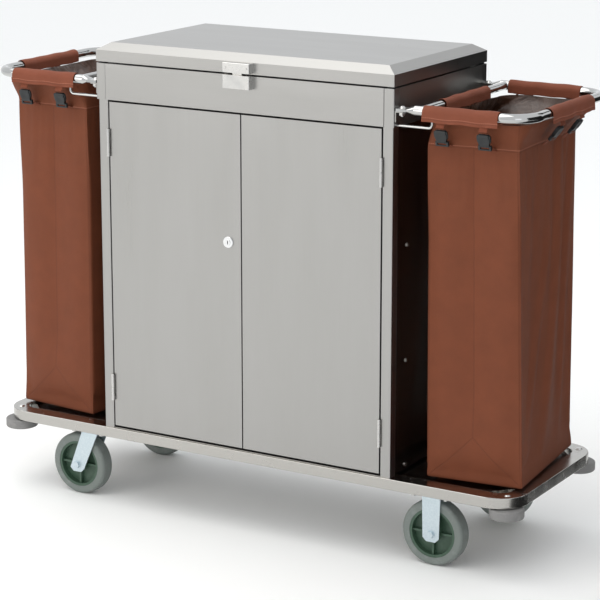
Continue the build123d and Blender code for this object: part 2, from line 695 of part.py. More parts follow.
# ---- Bag hoops ----------------------------------------------------------------------------------
def make_hoop(side, name):
    """U-shaped tube whose ends are pressed flat into bolt tabs, with a straight crossbar welded in."""
    start = ARM_BOLT_X + 32.0
    y = HOOP_HALF_WIDTH
    with BuildPart() as hoop:
        with BuildLine() as route:
            FilletPolyline(
                (side * start, -y, HOOP_Z),
                (side * HOOP_REACH, -y, HOOP_Z),
                (side * HOOP_REACH, y, HOOP_Z),
                (side * start, y, HOOP_Z),
                radius=HOOP_BEND_R,
            )
        with BuildSketch(Plane(origin=route.line @ 0, z_dir=route.line % 0)):
            Circle(HOOP_TUBE_R)
            Circle(HOOP_TUBE_R - HOOP_WALL, mode=Mode.SUBTRACT)
        sweep(path=route.line)
        for end in (-1, 1):
            for origin_x, section in ((ARM_BOLT_X + 8.0, "flat"), (start, "round")):
                plane = Plane(origin=(side * origin_x, end * y, HOOP_Z), x_dir=(0, 1, 0), z_dir=(side, 0, 0))
                with BuildSketch(plane):
                    if section == "flat":
                        Ellipse(BLADE_WIDTH / 2, BLADE_THICKNESS / 2)
                    else:
                        Circle(HOOP_TUBE_R)
            loft()
            with BuildSketch(Plane.XY.offset(HOOP_Z - BLADE_THICKNESS / 2)):
                with Locations((side * (ARM_BOLT_X + 3.5), end * y)):
                    RectangleRounded(27.0, BLADE_WIDTH, 4.0)
            extrude(amount=BLADE_THICKNESS)
            rod(ARM_BOLT_R + 0.1, side * ARM_BOLT_X, end * y, HOOP_Z - 10, HOOP_Z + 10, Mode.SUBTRACT)
    write(hoop.part, f"{name}_hoop")


def make_crossbars():
    """Straight tubes welded between the arms beside the cabinet, their ends cut round to fit the arms."""
    with BuildPart() as bars:
        for side in (-1, 1):
            x = side * CROSSBAR_X
            rod_y(CROSSBAR_R, x, -HOOP_HALF_WIDTH, HOOP_HALF_WIDTH, HOOP_Z)
            rod_y(CROSSBAR_R - HOOP_WALL, x, -HOOP_HALF_WIDTH, HOOP_HALF_WIDTH, HOOP_Z, Mode.SUBTRACT)
            for end in (-1, 1):
                y = end * HOOP_HALF_WIDTH
                rod_x(HOOP_TUBE_R + 0.01, x - 30, x + 30, y, HOOP_Z, Mode.SUBTRACT)
    write(bars.part, "hoop_crossbars")


def make_arm_brackets():
    """Angle tabs welded to the tray's corner tubes; each carries one flattened arm end."""
    face = TRAY_WIDTH / 2
    top = HOOP_Z - BLADE_THICKNESS / 2
    with BuildPart() as brackets:
        for sx, sy in FOUR:
            y0 = sy * (HOOP_HALF_WIDTH - POST_SIZE / 2 + 1.5)
            y1 = sy * (HOOP_HALF_WIDTH + POST_SIZE / 2 - 1.5)
            block(sx * face, sx * (ARM_BOLT_X + 7.5), y0, y1, top - BRACKET_THICKNESS, top)
            block(sx * face, sx * (face + BRACKET_THICKNESS), y0, y1, top - 24, top)
            x = sx * ARM_BOLT_X
            y = sy * HOOP_HALF_WIDTH
            rod(ARM_BOLT_R + 0.1, x, y, top - 10, top + 1, Mode.SUBTRACT)
    write(brackets.part, "arm_brackets")


def make_arm_bolts():
    """Dome-head bolts down through the arm ends, with nuts below the brackets."""
    top = HOOP_Z + BLADE_THICKNESS / 2
    below = HOOP_Z - BLADE_THICKNESS / 2 - BRACKET_THICKNESS
    with BuildPart() as bolts:
        for sx, sy in FOUR:
            x = sx * ARM_BOLT_X
            y = sy * HOOP_HALF_WIDTH
            rod(ARM_BOLT_R, x, y, below - 9, top + 1)
            with Locations((x, y, top)):
                Cone(7.5, 4.0, 4.5, align=(Align.CENTER, Align.CENTER, Align.MIN))
            with BuildSketch(Plane.XY.offset(below - 6.5)):
                with Locations((x, y)):
                    RegularPolygon(7.0, 6)
            extrude(amount=6.5)
    write(bolts.part, "arm_bolts")


def make_wire_stays():
    """Bent rod under each arm, from the foot of the tray's corner tube out and up to the tube."""
    z = TRAY_BOTTOM + STAY_R + 1
    with BuildPart() as stays:
        for sx, sy in FOUR:
            x0 = sx * TRAY_WIDTH / 2
            x1 = sx * (TRAY_WIDTH / 2 + STAY_REACH)
            y = sy * HOOP_HALF_WIDTH
            with BuildLine() as route:
                FilletPolyline((x0, y, z), (x1, y, z), (x1, y, HOOP_Z - HOOP_TUBE_R + 2), radius=9.0)
            with BuildSketch(Plane(origin=route.line @ 0, z_dir=route.line % 0)):
                Circle(STAY_R)
            sweep(path=route.line)
            rod_x(HOOP_TUBE_R + 0.01, x1 - sx * 20, x1 + sx * 20, y, HOOP_Z, Mode.SUBTRACT)
    write(stays.part, "wire_stays")


# ---- Bags ---------------------------------------------------------------------------------------
def bag_sections(side, inset):
    """Place, size and corner radius of the bag's straight body and of its rim inside the hoop."""
    rim_x0 = CROSSBAR_X + CROSSBAR_R + 3
    rim_x1 = HOOP_REACH - HOOP_TUBE_R - 3
    rim_y = HOOP_HALF_WIDTH - HOOP_TUBE_R - 3
    body = (side * BAG_X, BAG_Y, BAG_WIDTH - 2 * inset, BAG_DEPTH - 2 * inset, BAG_CORNER_R)
    rim = (
        side * (rim_x0 + rim_x1) / 2,
        0,
        rim_x1 - rim_x0 - 2 * inset,
        2 * rim_y - 2 * inset,
        HOOP_BEND_R - HOOP_TUBE_R - 3,
    )
    return body, rim


def bag_form(side, inset, bottom, mode):
    """Adds or cuts the bag's straight body and the flared top above its band."""
    body, rim = bag_sections(side, inset)
    outlines = []
    for z, shape in ((bottom, body), (BAG_BAND, body), (BAG_RIM, rim)):
        with BuildSketch(Plane.XY.offset(z)) as outline:
            with Locations(shape[:2]):
                RectangleRounded(shape[2], shape[3], shape[4] - inset)
        outlines.append(outline.sketch)
    extrude(outlines[0], amount=BAG_BAND - bottom, mode=mode)
    loft(outlines[1:], mode=mode)


def make_bag(side, name):
    with BuildPart() as bag:
        bag_form(side, 0, BAG_BOTTOM, Mode.ADD)
        bag_form(side, BAG_WALL, BAG_BOTTOM + BAG_WALL, Mode.SUBTRACT)
        block(
            side * (CROSSBAR_X - 20),
            side * (HOOP_REACH + 20),
            -HOOP_HALF_WIDTH,
            HOOP_HALF_WIDTH,
            BAG_RIM - 0.5,
            BAG_RIM + 5,
            Mode.SUBTRACT,
        )
    write(bag.part, f"{name}_bag")


def sleeve_outline(tube_r, outward):
    """Cross-section of a fabric sleeve: over the tube, a long flap outside and a short one inside."""
    inner = tube_r + 0.2
    outer = inner + SLEEVE_THICKNESS
    Circle(outer)
    with Locations((outward * (inner + outer) / 2, -FLAP_DROP / 2)):
        Rectangle(SLEEVE_THICKNESS, FLAP_DROP)
    Circle(inner, mode=Mode.SUBTRACT)
    with Locations((0, -outer / 2 - 4)):
        Rectangle(2 * inner, outer, mode=Mode.SUBTRACT)


def make_sleeves():
    """Fabric loops that carry each bag: two along the hoop's arms, one at its end, one on the crossbar."""
    with BuildPart() as sleeves:
        for side in (-1, 1):
            for end in (-1, 1):
                x0 = side * SLEEVE_X - SLEEVE_LENGTH_SIDE / 2
                plane = Plane(origin=(x0, end * HOOP_HALF_WIDTH, HOOP_Z), x_dir=(0, 1, 0), z_dir=(1, 0, 0))
                with BuildSketch(plane):
                    sleeve_outline(HOOP_TUBE_R, end)
                extrude(amount=SLEEVE_LENGTH_SIDE)
            ends = ((HOOP_REACH, HOOP_TUBE_R, 1), (CROSSBAR_X, CROSSBAR_R, -1))
            for x, tube_r, out in ends:
                y0 = SLEEVE_LENGTH_END / 2
                plane = Plane(origin=(side * x, y0, HOOP_Z), x_dir=(1, 0, 0), z_dir=(0, -1, 0))
                with BuildSketch(plane):
                    sleeve_outline(tube_r, out * side)
                extrude(amount=SLEEVE_LENGTH_END)
    write(sleeves.part, "bag_sleeves")


def strap_plane(top, bottom, across):
    """Plane of a strap that runs straight down from top to bottom, facing away from the bag."""
    upward = (Vector(*top) - Vector(*bottom)).normalized()
    facing = Vector(*across).cross(upward)
    middle = (Vector(*top) + Vector(*bottom)) * 0.5
    return Plane(origin=middle, x_dir=across, z_dir=facing)


def buckle(plane):
    """Adds one side-release buckle to the current part, on the given strap plane, its length along the strap."""
    with BuildSketch(plane) as outline:
        RectangleRounded(BUCKLE_WIDTH, BUCKLE_LENGTH, BUCKLE_CORNER_R)
        for hand in (-1, 1):
            with Locations((hand * BUCKLE_WIDTH / 2, BUCKLE_NOTCH_UP)):
                SlotOverall(BUCKLE_NOTCH_LENGTH, BUCKLE_NOTCH_WIDTH, rotation=90, mode=Mode.SUBTRACT)
    extrude(outline.sketch, amount=BUCKLE_THICKNESS)


def make_buckles():
    """Side-release buckles on the straps between the flaps' hems and the bags' bands, eight to a bag."""
    hem = HOOP_Z - FLAP_DROP
    flap_y = HOOP_HALF_WIDTH + HOOP_TUBE_R
    flap_x = HOOP_REACH + HOOP_TUBE_R
    band_x = BAG_X + BAG_WIDTH / 2
    crossbar_face = CROSSBAR_X - CROSSBAR_R - STRAP_GAP
    with BuildPart() as buckles:
        for side in (-1, 1):
            for pitch in (-BUCKLE_PITCH / 2, BUCKLE_PITCH / 2):
                x = side * BAG_X + pitch
                for end in (-1, 1):
                    top = (x, end * flap_y, hem)
                    bottom = (x, BAG_Y + end * BAG_DEPTH / 2, BAG_BAND)
                    buckle(strap_plane(top, bottom, (-end, 0, 0)))
                top = (side * flap_x, pitch, hem)
                bottom = (side * band_x, pitch, BAG_BAND)
                buckle(strap_plane(top, bottom, (0, side, 0)))
                top = (side * crossbar_face, pitch, hem)
                bottom = (side * crossbar_face, pitch, BAG_BAND)
                buckle(strap_plane(top, bottom, (0, -side, 0)))
    write(buckles.part, "bag_buckles")


# ---- Casters ------------------------------------------------------------------------------------
def fork_legs(top_x, axle_x, y, top_z):
    """Adds the two legs of a fork: straight strips with cut corners below the axle that they are drilled for."""
    top_half = FORK_LEG_WIDTH / 2
    foot_half = FORK_FOOT_WIDTH / 2
    toe_half = foot_half - FORK_FOOT_CUT
    toe_z = WHEEL_R - FORK_FOOT_DROP
    for front in (y - FORK_OUTSIDE, y + FORK_INSIDE):
        with BuildSketch(Plane.XZ.offset(-front)) as leg:
            with BuildLine():
                Polyline(
                    (top_x + top_half, top_z),
                    (top_x - top_half, top_z),
                    (axle_x - foot_half, toe_z + FORK_FOOT_CUT),
                    (axle_x - toe_half, toe_z),
                    (axle_x + toe_half, toe_z),
                    (axle_x + foot_half, toe_z + FORK_FOOT_CUT),
                    close=True,
                )
            make_face()
        extrude(leg.sketch, amount=-FORK_THICKNESS)
    hole_r = AXLE_R + PRESS_CLEARANCE
    rod_y(hole_r, axle_x, y - FORK_OUTSIDE - 1, y + FORK_OUTSIDE + 1, WHEEL_R, Mode.SUBTRACT)


def plate(x, y):
    """Adds a drilled caster mounting plate below the ring."""
    block(
        x - PLATE_LENGTH / 2,
        x + PLATE_LENGTH / 2,
        y - PLATE_WIDTH / 2,
        y + PLATE_WIDTH / 2,
        PLATE_BOTTOM,
        PLATE_TOP,
    )
    for dx in (-PLATE_BOLT_X / 2, PLATE_BOLT_X / 2):
        for dy in (-PLATE_BOLT_Y / 2, PLATE_BOLT_Y / 2):
            rod(PLATE_BOLT_R + 0.1, x + dx, y + dy, PLATE_BOTTOM - 1, PLATE_TOP + 1, Mode.SUBTRACT)


def axle(x, y):
    """Adds an axle bolt with its hex head in front and its nut behind."""
    reach = FORK_OUTSIDE
    rod_y(AXLE_R, x, y - reach - 0.5, y + reach + 9, WHEEL_R)
    for face, turn in ((y - reach, 1), (y + reach, -1)):
        with BuildSketch(Plane.XZ.offset(-face)) as hexagon:
            with Locations((x, WHEEL_R)):
                RegularPolygon(8.5, 6)
        extrude(hexagon.sketch, amount=turn * 6.5)


def make_rigid_forks():
    with BuildPart() as forks:
        for side in (-1, 1):
            y = side * CASTER_Y
            plate(RIGID_X, y)
            fork_legs(RIGID_X, RIGID_X, y, PLATE_BOTTOM)
    write(forks.part, "rigid_forks")
    with BuildPart() as axles:
        for side in (-1, 1):
            axle(RIGID_X, side * CASTER_Y)
    write(axles.part, "rigid_axles")


def make_swivels():
    """Swivel casters of the left end: fixed plate with kingpin, and a fork that turns below it."""
    x = -SWIVEL_X
    crown_top = PLATE_BOTTOM - 5.0
    crown_bottom = crown_top - FORK_THICKNESS
    pin_r = 6.0
    with BuildPart() as plates:
        for side in (-1, 1):
            y = side * CASTER_Y
            plate(x, y)
            rod(16.0, x, y, crown_top + 0.4, PLATE_BOTTOM)
            rod(pin_r, x, y, crown_bottom - 1.4, PLATE_BOTTOM)
    write(plates.part, "swivel_plates")
    for side, name in ((-1, "front"), (1, "rear")):
        y = side * CASTER_Y
        with BuildPart() as fork:
            block(
                x - FORK_LEG_WIDTH / 2,
                x + FORK_LEG_WIDTH / 2,
                y - FORK_OUTSIDE,
                y + FORK_OUTSIDE,
                crown_bottom,
                crown_top,
            )
            fork_legs(x, x - SWIVEL_TRAIL, y, crown_bottom + 1)
            rod(pin_r + RUNNING_CLEARANCE, x, y, crown_bottom - 5, crown_top + 5, Mode.SUBTRACT)
        with BuildPart() as bolt:
            axle(x - SWIVEL_TRAIL, y)
        write_set([fork.part, bolt.part], f"{name}_swivel_fork")


def make_caster_bolts():
    """Hex bolts up through each caster plate into the ring and the rails."""
    with BuildPart() as bolts:
        for x in (RIGID_X, -SWIVEL_X):
            for side in (-1, 1):
                for dx in (-PLATE_BOLT_X / 2, PLATE_BOLT_X / 2):
                    for dy in (-PLATE_BOLT_Y / 2, PLATE_BOLT_Y / 2):
                        spot = (x + dx, side * CASTER_Y + dy)
                        rod(PLATE_BOLT_R, spot[0], spot[1], PLATE_BOTTOM - 1, PLATE_TOP + 12)
                        with BuildSketch(Plane.XY.offset(PLATE_BOTTOM - 5)):
                            with Locations(spot):
                                RegularPolygon(6.5, 6)
                        extrude(amount=5)
    write(bolts.part, "caster_bolts")


def hub_face(x, y, face, depth, ribbed):
    """Cuts a ring out of one face of the hub, as deep as given from the hub's middle, leaving the ribs if ribbed."""
    with BuildSketch(Plane.XZ.offset(-y - face * depth)) as hollow:
        with Locations((x, WHEEL_R)):
            Circle(HUB_R - HUB_RIM)
            Circle(HUB_BOSS_R, mode=Mode.SUBTRACT)
            if ribbed:
                with PolarLocations((HUB_R - HUB_RIM + HUB_BOSS_R) / 2, HUB_RIBS):
                    Rectangle(HUB_R, HUB_RIB, mode=Mode.SUBTRACT)
    extrude(hollow.sketch, amount=-face * WHEEL_WIDTH / 2, mode=Mode.SUBTRACT)


def make_wheel(x, y, name):
    """Moulded wheel: dished plastic hub with four ribs on each face, and a round-shouldered rubber tyre."""
    half = WHEEL_WIDTH / 2
    with BuildPart() as tyre:
        with BuildSketch(Plane.XZ.offset(-y - half)):
            with Locations((x, WHEEL_R)):
                Circle(WHEEL_R)
                Circle(HUB_R, mode=Mode.SUBTRACT)
        extrude(amount=WHEEL_WIDTH)
        fillet(tyre.edges().filter_by(GeomType.CIRCLE).group_by(SortBy.RADIUS)[-1], TYRE_SHOULDER)
    write(tyre.part, f"{name}_tyre")
    with BuildPart() as hub:
        rod_y(HUB_R, x, y - half + 1, y + half - 1, WHEEL_R)
        for face in (-1, 1):
            hub_face(x, y, face, HUB_WEB / 2, ribbed=True)
            hub_face(x, y, face, half - HUB_RIB_BACK, ribbed=False)
        rod_y(HUB_BEARING_R, x, y - HUB_WIDTH / 2, y + HUB_WIDTH / 2, WHEEL_R)
        reach = HUB_WIDTH / 2 + 1
        rod_y(AXLE_R + RUNNING_CLEARANCE, x, y - reach, y + reach, WHEEL_R, Mode.SUBTRACT)
    write(hub.part, f"{name}_hub")


def make_wheels():
    for side, name in ((-1, "front"), (1, "rear")):
        make_wheel(RIGID_X, side * CASTER_Y, f"{name}_rigid")
        make_wheel(-SWIVEL_X - SWIVEL_TRAIL, side * CASTER_Y, f"{name}_swivel")


# ---- Bumper rollers -----------------------------------------------------------------------------
def make_rollers():
    """Flat rubber rollers under the ring's corners, each turning on a bolt with a washer above and below."""
    names = {(1, -1): "front_right", (1, 1): "rear_right", (-1, -1): "front_left", (-1, 1): "rear_left"}
    for (sx, sy), name in names.items():
        x = sx * ROLLER_X
        y = sy * ROLLER_Y
        with BuildPart() as roller:
            rod(ROLLER_R, x, y, ROLLER_BOTTOM, ROLLER_TOP)
            fillet(roller.edges(), 4.0)
            rod(ROLLER_BOLT_R + RUNNING_CLEARANCE, x, y, ROLLER_BOTTOM - 1, ROLLER_TOP + 1, Mode.SUBTRACT)
        write(roller.part, f"{name}_roller")
    with BuildPart() as bolts:
        for sx, sy in FOUR:
            x = sx * ROLLER_X
            y = sy * ROLLER_Y
            rod(ROLLER_BOLT_R, x, y, ROLLER_BOTTOM - 3, RING_TOP + 0.5)
            rod(11.0, x, y, ROLLER_TOP + 0.3, RING_BOTTOM)
            rod(11.0, x, y, ROLLER_BOTTOM - 2, ROLLER_BOTTOM - 0.3)
            with BuildSketch(Plane.XY.offset(ROLLER_BOTTOM - 8)):
                with Locations((x, y)):
                    RegularPolygon(8.5, 6)
            extrude(amount=6.1)
            with Locations((x, y, RING_TOP)):
                Cone(8.5, 5.0, 2.6, align=(Align.CENTER, Align.CENTER, Align.MIN))
    write(bolts.part, "roller_bolts")


make_base_ring()
make_caster_rails()
make_deck_pans()
make_cabinet_floor()
make_corner_posts()
make_side_panels()
make_back_panel()
make_shelves()
make_panel_screws()
make_tray_corners()
make_tray_panels()
make_tray_floor()
make_lid_pads()
make_lid()
make_lid_hinge()
make_latch()
make_door(-1, "left_door")
make_door(1, "right_door")
make_door_hinges()
make_lock()
make_hoop(-1, "left")
make_hoop(1, "right")
make_crossbars()
make_arm_brackets()
make_arm_bolts()
make_wire_stays()
make_bag(-1, "left")
make_bag(1, "right")
make_sleeves()
make_buckles()
make_rigid_forks()
make_swivels()
make_caster_bolts()
make_wheels()
make_rollers()
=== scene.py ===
"""Housekeeping cart: a stainless cabinet on a ring base, with a lid, two doors and two laundry bags."""

import math
import random

import bpy
import numpy as np
from mathutils import Matrix, Vector


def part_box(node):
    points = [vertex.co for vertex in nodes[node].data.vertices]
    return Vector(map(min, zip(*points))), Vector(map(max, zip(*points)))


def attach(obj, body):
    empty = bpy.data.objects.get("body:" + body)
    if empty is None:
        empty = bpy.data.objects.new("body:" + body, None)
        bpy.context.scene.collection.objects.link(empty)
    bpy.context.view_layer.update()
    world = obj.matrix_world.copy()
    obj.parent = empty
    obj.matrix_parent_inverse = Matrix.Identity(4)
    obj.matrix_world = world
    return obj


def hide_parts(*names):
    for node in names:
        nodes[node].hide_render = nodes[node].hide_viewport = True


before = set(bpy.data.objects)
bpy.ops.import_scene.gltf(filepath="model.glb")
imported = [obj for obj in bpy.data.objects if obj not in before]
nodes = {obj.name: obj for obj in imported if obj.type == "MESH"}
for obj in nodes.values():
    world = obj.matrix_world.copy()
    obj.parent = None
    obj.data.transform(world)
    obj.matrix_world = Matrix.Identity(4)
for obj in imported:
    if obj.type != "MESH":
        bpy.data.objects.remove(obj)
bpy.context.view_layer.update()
bpy.ops.object.select_all(action="DESELECT")


# ---- Camera: a long lens, from the right and a little above ------------------------------------------
CAMERA_AZIMUTH = math.radians(30.66)
CAMERA_ELEVATION = math.radians(13.41)
CAMERA_DISTANCE = 5.256
CAMERA_AIM = Vector((0.023, 0.0, 0.578))
toward_camera = Vector(
    (
        math.sin(CAMERA_AZIMUTH) * math.cos(CAMERA_ELEVATION),
        -math.cos(CAMERA_AZIMUTH) * math.cos(CAMERA_ELEVATION),
        math.sin(CAMERA_ELEVATION),
    )
)
bpy.ops.object.camera_add(location=CAMERA_AIM + toward_camera * CAMERA_DISTANCE)
camera = bpy.context.object
camera.rotation_euler = toward_camera.to_track_quat("Z", "Y").to_euler()
camera.data.sensor_width = 36.0
camera.data.lens = 135.8
camera.data.shift_y = -0.05
bpy.context.scene.camera = camera
bpy.context.scene.view_settings.view_transform = "Standard"


# ---- Studio: pale floor, an overhead softbox, a front softbox, and dark cards that shade the steel ----
def paint(hex_colour):
    """Linear RGBA of an sRGB hex colour."""
    channels = [int(hex_colour[i : i + 2], 16) / 255 for i in (0, 2, 4)]
    linear = [c / 12.92 if c <= 0.04045 else ((c + 0.055) / 1.055) ** 2.4 for c in channels]
    return (*linear, 1.0)


def add_node(material, kind, settings=None, links=None):
    """Adds one node. Settings are its inputs or its own properties; links are (node, output) by input."""
    node = material.node_tree.nodes.new(kind)
    for key, value in (settings or {}).items():
        if isinstance(key, int) or key in node.inputs:
            node.inputs[key].default_value = value
        else:
            setattr(node, key, value)
    for key, (source, output) in (links or {}).items():
        material.node_tree.links.new(source.outputs[output], node.inputs[key])
    return node


def new_material(name, base, roughness, metallic=0.0, **sockets):
    """A material whose Principled shader has these constants, and that shader."""
    material = bpy.data.materials.new(name)
    material.use_nodes = True
    shader = material.node_tree.nodes["Principled BSDF"]
    shader.inputs["Base Color"].default_value = paint(base)
    shader.inputs["Roughness"].default_value = roughness
    shader.inputs["Metallic"].default_value = metallic
    for socket, value in sockets.items():
        shader.inputs[socket.replace("_", " ")].default_value = value
    return material, shader


def softbox(name, place, aim, size, watts, colour):
    """A rectangular area light at place, turned to aim."""
    bpy.ops.object.light_add(type="AREA", location=place)
    light = bpy.context.object
    light.name = name
    light.rotation_euler = (Vector(aim) - Vector(place)).to_track_quat("-Z", "Y").to_euler()
    light.data.shape = "RECTANGLE"
    light.data.size, light.data.size_y = size
    light.data.energy = watts
    light.data.color = paint(colour)[:3]


def dark_card(name, place, aim, size, shades=False):
    """A black card beside the lights that reflections see, and that takes light away where it shades."""
    bpy.ops.mesh.primitive_plane_add(size=1.0)
    card = bpy.context.object
    card.name = name
    card.scale = (*size, 1.0)
    card.rotation_euler = (Vector(aim) - Vector(place)).to_track_quat("Z", "Y").to_euler()
    card.location = place
    card.visible_camera = False
    card.visible_diffuse = shades
    card.visible_shadow = False
    card.data.materials.append(card_material)


softbox("overhead_softbox", (-0.8, -0.6, 3.4), (0, 0, 0.6), (3.4, 2.6), 46, "fffdf8")
softbox("front_softbox", (-2.6, -4.2, 2.0), (0, 0, 0.6), (3.0, 2.6), 46, "fffaf2")
softbox("right_fill", (3.6, -3.4, 1.6), (0.3, 0, 0.6), (1.6, 2.0), 8, "f4f7ff")
card_material, _ = new_material("black_card", "0c0c0d", 0.9)
dark_card("right_rear_card", (1.55, 1.9, 0.75), (0.2, 0.2, 1.0), (3.2, 1.3))
dark_card("right_side_card", (2.9, 0.6, 1.1), (0.5, 0, 0.8), (3.0, 2.2), shades=True)
dark_card("rear_high_card", (1.3, 3.0, 3.0), (0.3, 0, 1.1), (1.3, 1.1))
dark_card("floor_card", (1.75, 0.8, 0.01), (1.75, 0.8, 1.0), (1.8, 2.4))

bpy.ops.mesh.primitive_plane_add(size=60.0)
floor = bpy.context.object
floor.name = "studio_floor"
floor_material, floor_shader = new_material("pale_floor", "fbfbfa", 0.65, Specular_IOR_Level=0.2)
floor_mottle = add_node(floor_material, "ShaderNodeTexNoise", {"Scale": 3.0, "Detail": 2.0})
floor_tint = add_node(
    floor_material,
    "ShaderNodeMix",
    {"data_type": "RGBA", 6: paint("fcfcfb"), 7: paint("f8f8f7")},
    {0: (floor_mottle, "Fac")},
)
floor_material.node_tree.links.new(floor_tint.outputs[2], floor_shader.inputs["Base Color"])
floor.data.materials.append(floor_material)

world = bpy.data.worlds.new("studio_room")
world.use_nodes = True
world.node_tree.nodes["Background"].inputs["Color"].default_value = paint("eef0f2")
world.node_tree.nodes["Background"].inputs["Strength"].default_value = 1.12
bpy.context.scene.world = world


# ---- Brushed stainless sheet: cabinet, doors, lid, posts and trays ------------------------------------
# Grade 304 sheet, brushed by belts along its length, bent and riveted. The belts leave fine parallel
# lines that stretch highlights across them, and handling leaves faint cloudy patches.
BRUSH_LINE = 0.0016  # spacing of the drawn lines; real ones are about 0.2 mm and would not show
BRUSH_LENGTH = 0.12


def brushed_steel(name, along, base="a3a2a0", roughness=0.3):
    """Stainless sheet brushed along X, Y or Z."""
    material, shader = new_material(name, base, roughness, metallic=1.0)
    place = add_node(material, "ShaderNodeTexCoord")
    stretch = [1 / BRUSH_LINE] * 3
    stretch["XYZ".index(along)] = 1 / BRUSH_LENGTH
    lines_at = add_node(material, "ShaderNodeMapping", {"Scale": stretch}, {"Vector": (place, "Object")})
    lines = add_node(
        material, "ShaderNodeTexNoise", {"Scale": 1.0, "Detail": 3.0}, {"Vector": (lines_at, "Vector")}
    )
    cloud_stretch = [16.0] * 3
    cloud_stretch["XYZ".index(along)] = 3.0
    cloud_at = add_node(
        material, "ShaderNodeMapping", {"Scale": cloud_stretch}, {"Vector": (place, "Object")}
    )
    clouds = add_node(
        material, "ShaderNodeTexNoise", {"Scale": 1.0, "Detail": 4.0}, {"Vector": (cloud_at, "Vector")}
    )
    worn = add_node(
        material, "ShaderNodeMath", {"operation": "MULTIPLY_ADD", 1: 0.5}, {0: (lines, "Fac")}
    )
    material.node_tree.links.new(clouds.outputs["Fac"], worn.inputs[2])
    gloss = add_node(
        material,
        "ShaderNodeMapRange",
        {"From Min": 0.45, "From Max": 1.05, "To Min": roughness - 0.03, "To Max": roughness + 0.04},
        {"Value": (worn, "Value")},
    )
    tone = add_node(
        material,
        "ShaderNodeValToRGB",
        links={"Fac": (worn, "Value")},
    )
    red, green, blue, _ = paint(base)
    tone.color_ramp.elements[0].position = 0.45
    tone.color_ramp.elements[0].color = (red * 0.97, green * 0.97, blue * 0.965, 1.0)
    tone.color_ramp.elements[1].position = 1.05
    tone.color_ramp.elements[1].color = (red * 1.02, green * 1.02, blue * 1.025, 1.0)
    relief = add_node(
        material,
        "ShaderNodeBump",
        {"Strength": 0.06, "Distance": 0.0003},
        {"Height": (lines, "Fac")},
    )
    link = material.node_tree.links.new
    link(tone.outputs["Color"], shader.inputs["Base Color"])
    link(gloss.outputs["Result"], shader.inputs["Roughness"])
    link(relief.outputs["Normal"], shader.inputs["Normal"])
    return material


def finish_nodes(material, *names):
    """Gives CAD nodes this material all over."""
    for name in names:
        nodes[name].data.materials.clear()
        nodes[name].data.materials.append(material)


steel_upright = brushed_steel("stainless_brushed_upright", "Z")
steel_level = brushed_steel("stainless_brushed_level", "X")
steel_inside = brushed_steel("stainless_brushed_inside", "Y", base="9c9b98", roughness=0.36)
finish_nodes(
    steel_upright,
    "corner_posts",
    "back_panel",
    "tray_corners",
    "left_door_skin",
    "right_door_skin",
    "left_door_liner",
    "right_door_liner",
)
finish_nodes(steel_level, "tray_front_panel", "tray_back_panel", "lid_shell", "lid_liner", "shelves")
# the side panels are the cabinet's own brushed sheet given a darker, warmer base: painted shade, so they read
# dark beside the bag
finish_nodes(brushed_steel("stainless_side_sheet_painted_shade", "Z", base="8d8782", roughness=0.22), "side_panels")
finish_nodes(steel_inside, "tray_side_panels", "cabinet_floor", "tray_floor", "arm_brackets")


# ---- Polished stainless: ring base, deck pans, hoops and crossbars ------------------------------------
# Seamed tube and sheet buffed bright after welding. Buffing leaves faint swirls and an uneven gloss.
def buffed_steel(name, base, roughness, swirl=0.05):
    """Stainless buffed nearly to a mirror."""
    material, shader = new_material(name, base, roughness, metallic=1.0)
    place = add_node(material, "ShaderNodeTexCoord")
    haze = add_node(
        material,
        "ShaderNodeTexNoise",
        {"Scale": 28.0, "Detail": 5.0, "Distortion": 0.6},
        {"Vector": (place, "Object")},
    )
    gloss = add_node(
        material,
        "ShaderNodeMapRange",
        {"From Min": 0.3, "From Max": 0.7, "To Min": max(0.03, roughness - 0.05), "To Max": roughness + 0.07},
        {"Value": (haze, "Fac")},
    )
    ripple = add_node(
        material,
        "ShaderNodeTexNoise",
        {"Scale": 9.0, "Detail": 1.0},
        {"Vector": (place, "Object")},
    )
    relief = add_node(
        material,
        "ShaderNodeBump",
        {"Strength": swirl, "Distance": 0.01},
        {"Height": (ripple, "Fac")},
    )
    material.node_tree.links.new(gloss.outputs["Result"], shader.inputs["Roughness"])
    material.node_tree.links.new(relief.outputs["Normal"], shader.inputs["Normal"])
    return material


tube_steel = buffed_steel("stainless_buffed_tube", "b9b9b8", 0.1)
ring_steel = buffed_steel("stainless_satin_ring", "b2b0ac", 0.22)
pan_steel = buffed_steel("stainless_deck_sheet", "b4aca6", 0.2, swirl=0.1)
finish_nodes(tube_steel, "left_hoop", "right_hoop", "hoop_crossbars", "wire_stays")
finish_nodes(ring_steel, "base_ring", "caster_rails")
finish_nodes(pan_steel, "deck_pans")


# ---- Bright and zinc-plated hardware: screws, hinges, latch, lock and casters ------------------------
# Turned or pressed steel, nickel or chrome plated, and the casters' forks in blue-white zinc.
hardware = buffed_steel("nickel_plated_steel", "c6c5c3", 0.24, swirl=0.02)
chrome = buffed_steel("chrome_plated_zinc", "d8d9da", 0.08, swirl=0.01)
finish_nodes(
    hardware,
    "panel_screws",
    "arm_bolts",
    "caster_bolts",
    "roller_bolts",
    "door_hinge_bases",
    "lid_hinge_base",
    "lid_hinge_leaf",
    "left_door_hinges",
    "right_door_hinges",
    "latch_case",
    "latch_pull",
    "lock_cam",
)
finish_nodes(chrome, "lock_housing", "lock_plug")

ZINC_SPANGLE = 0.004


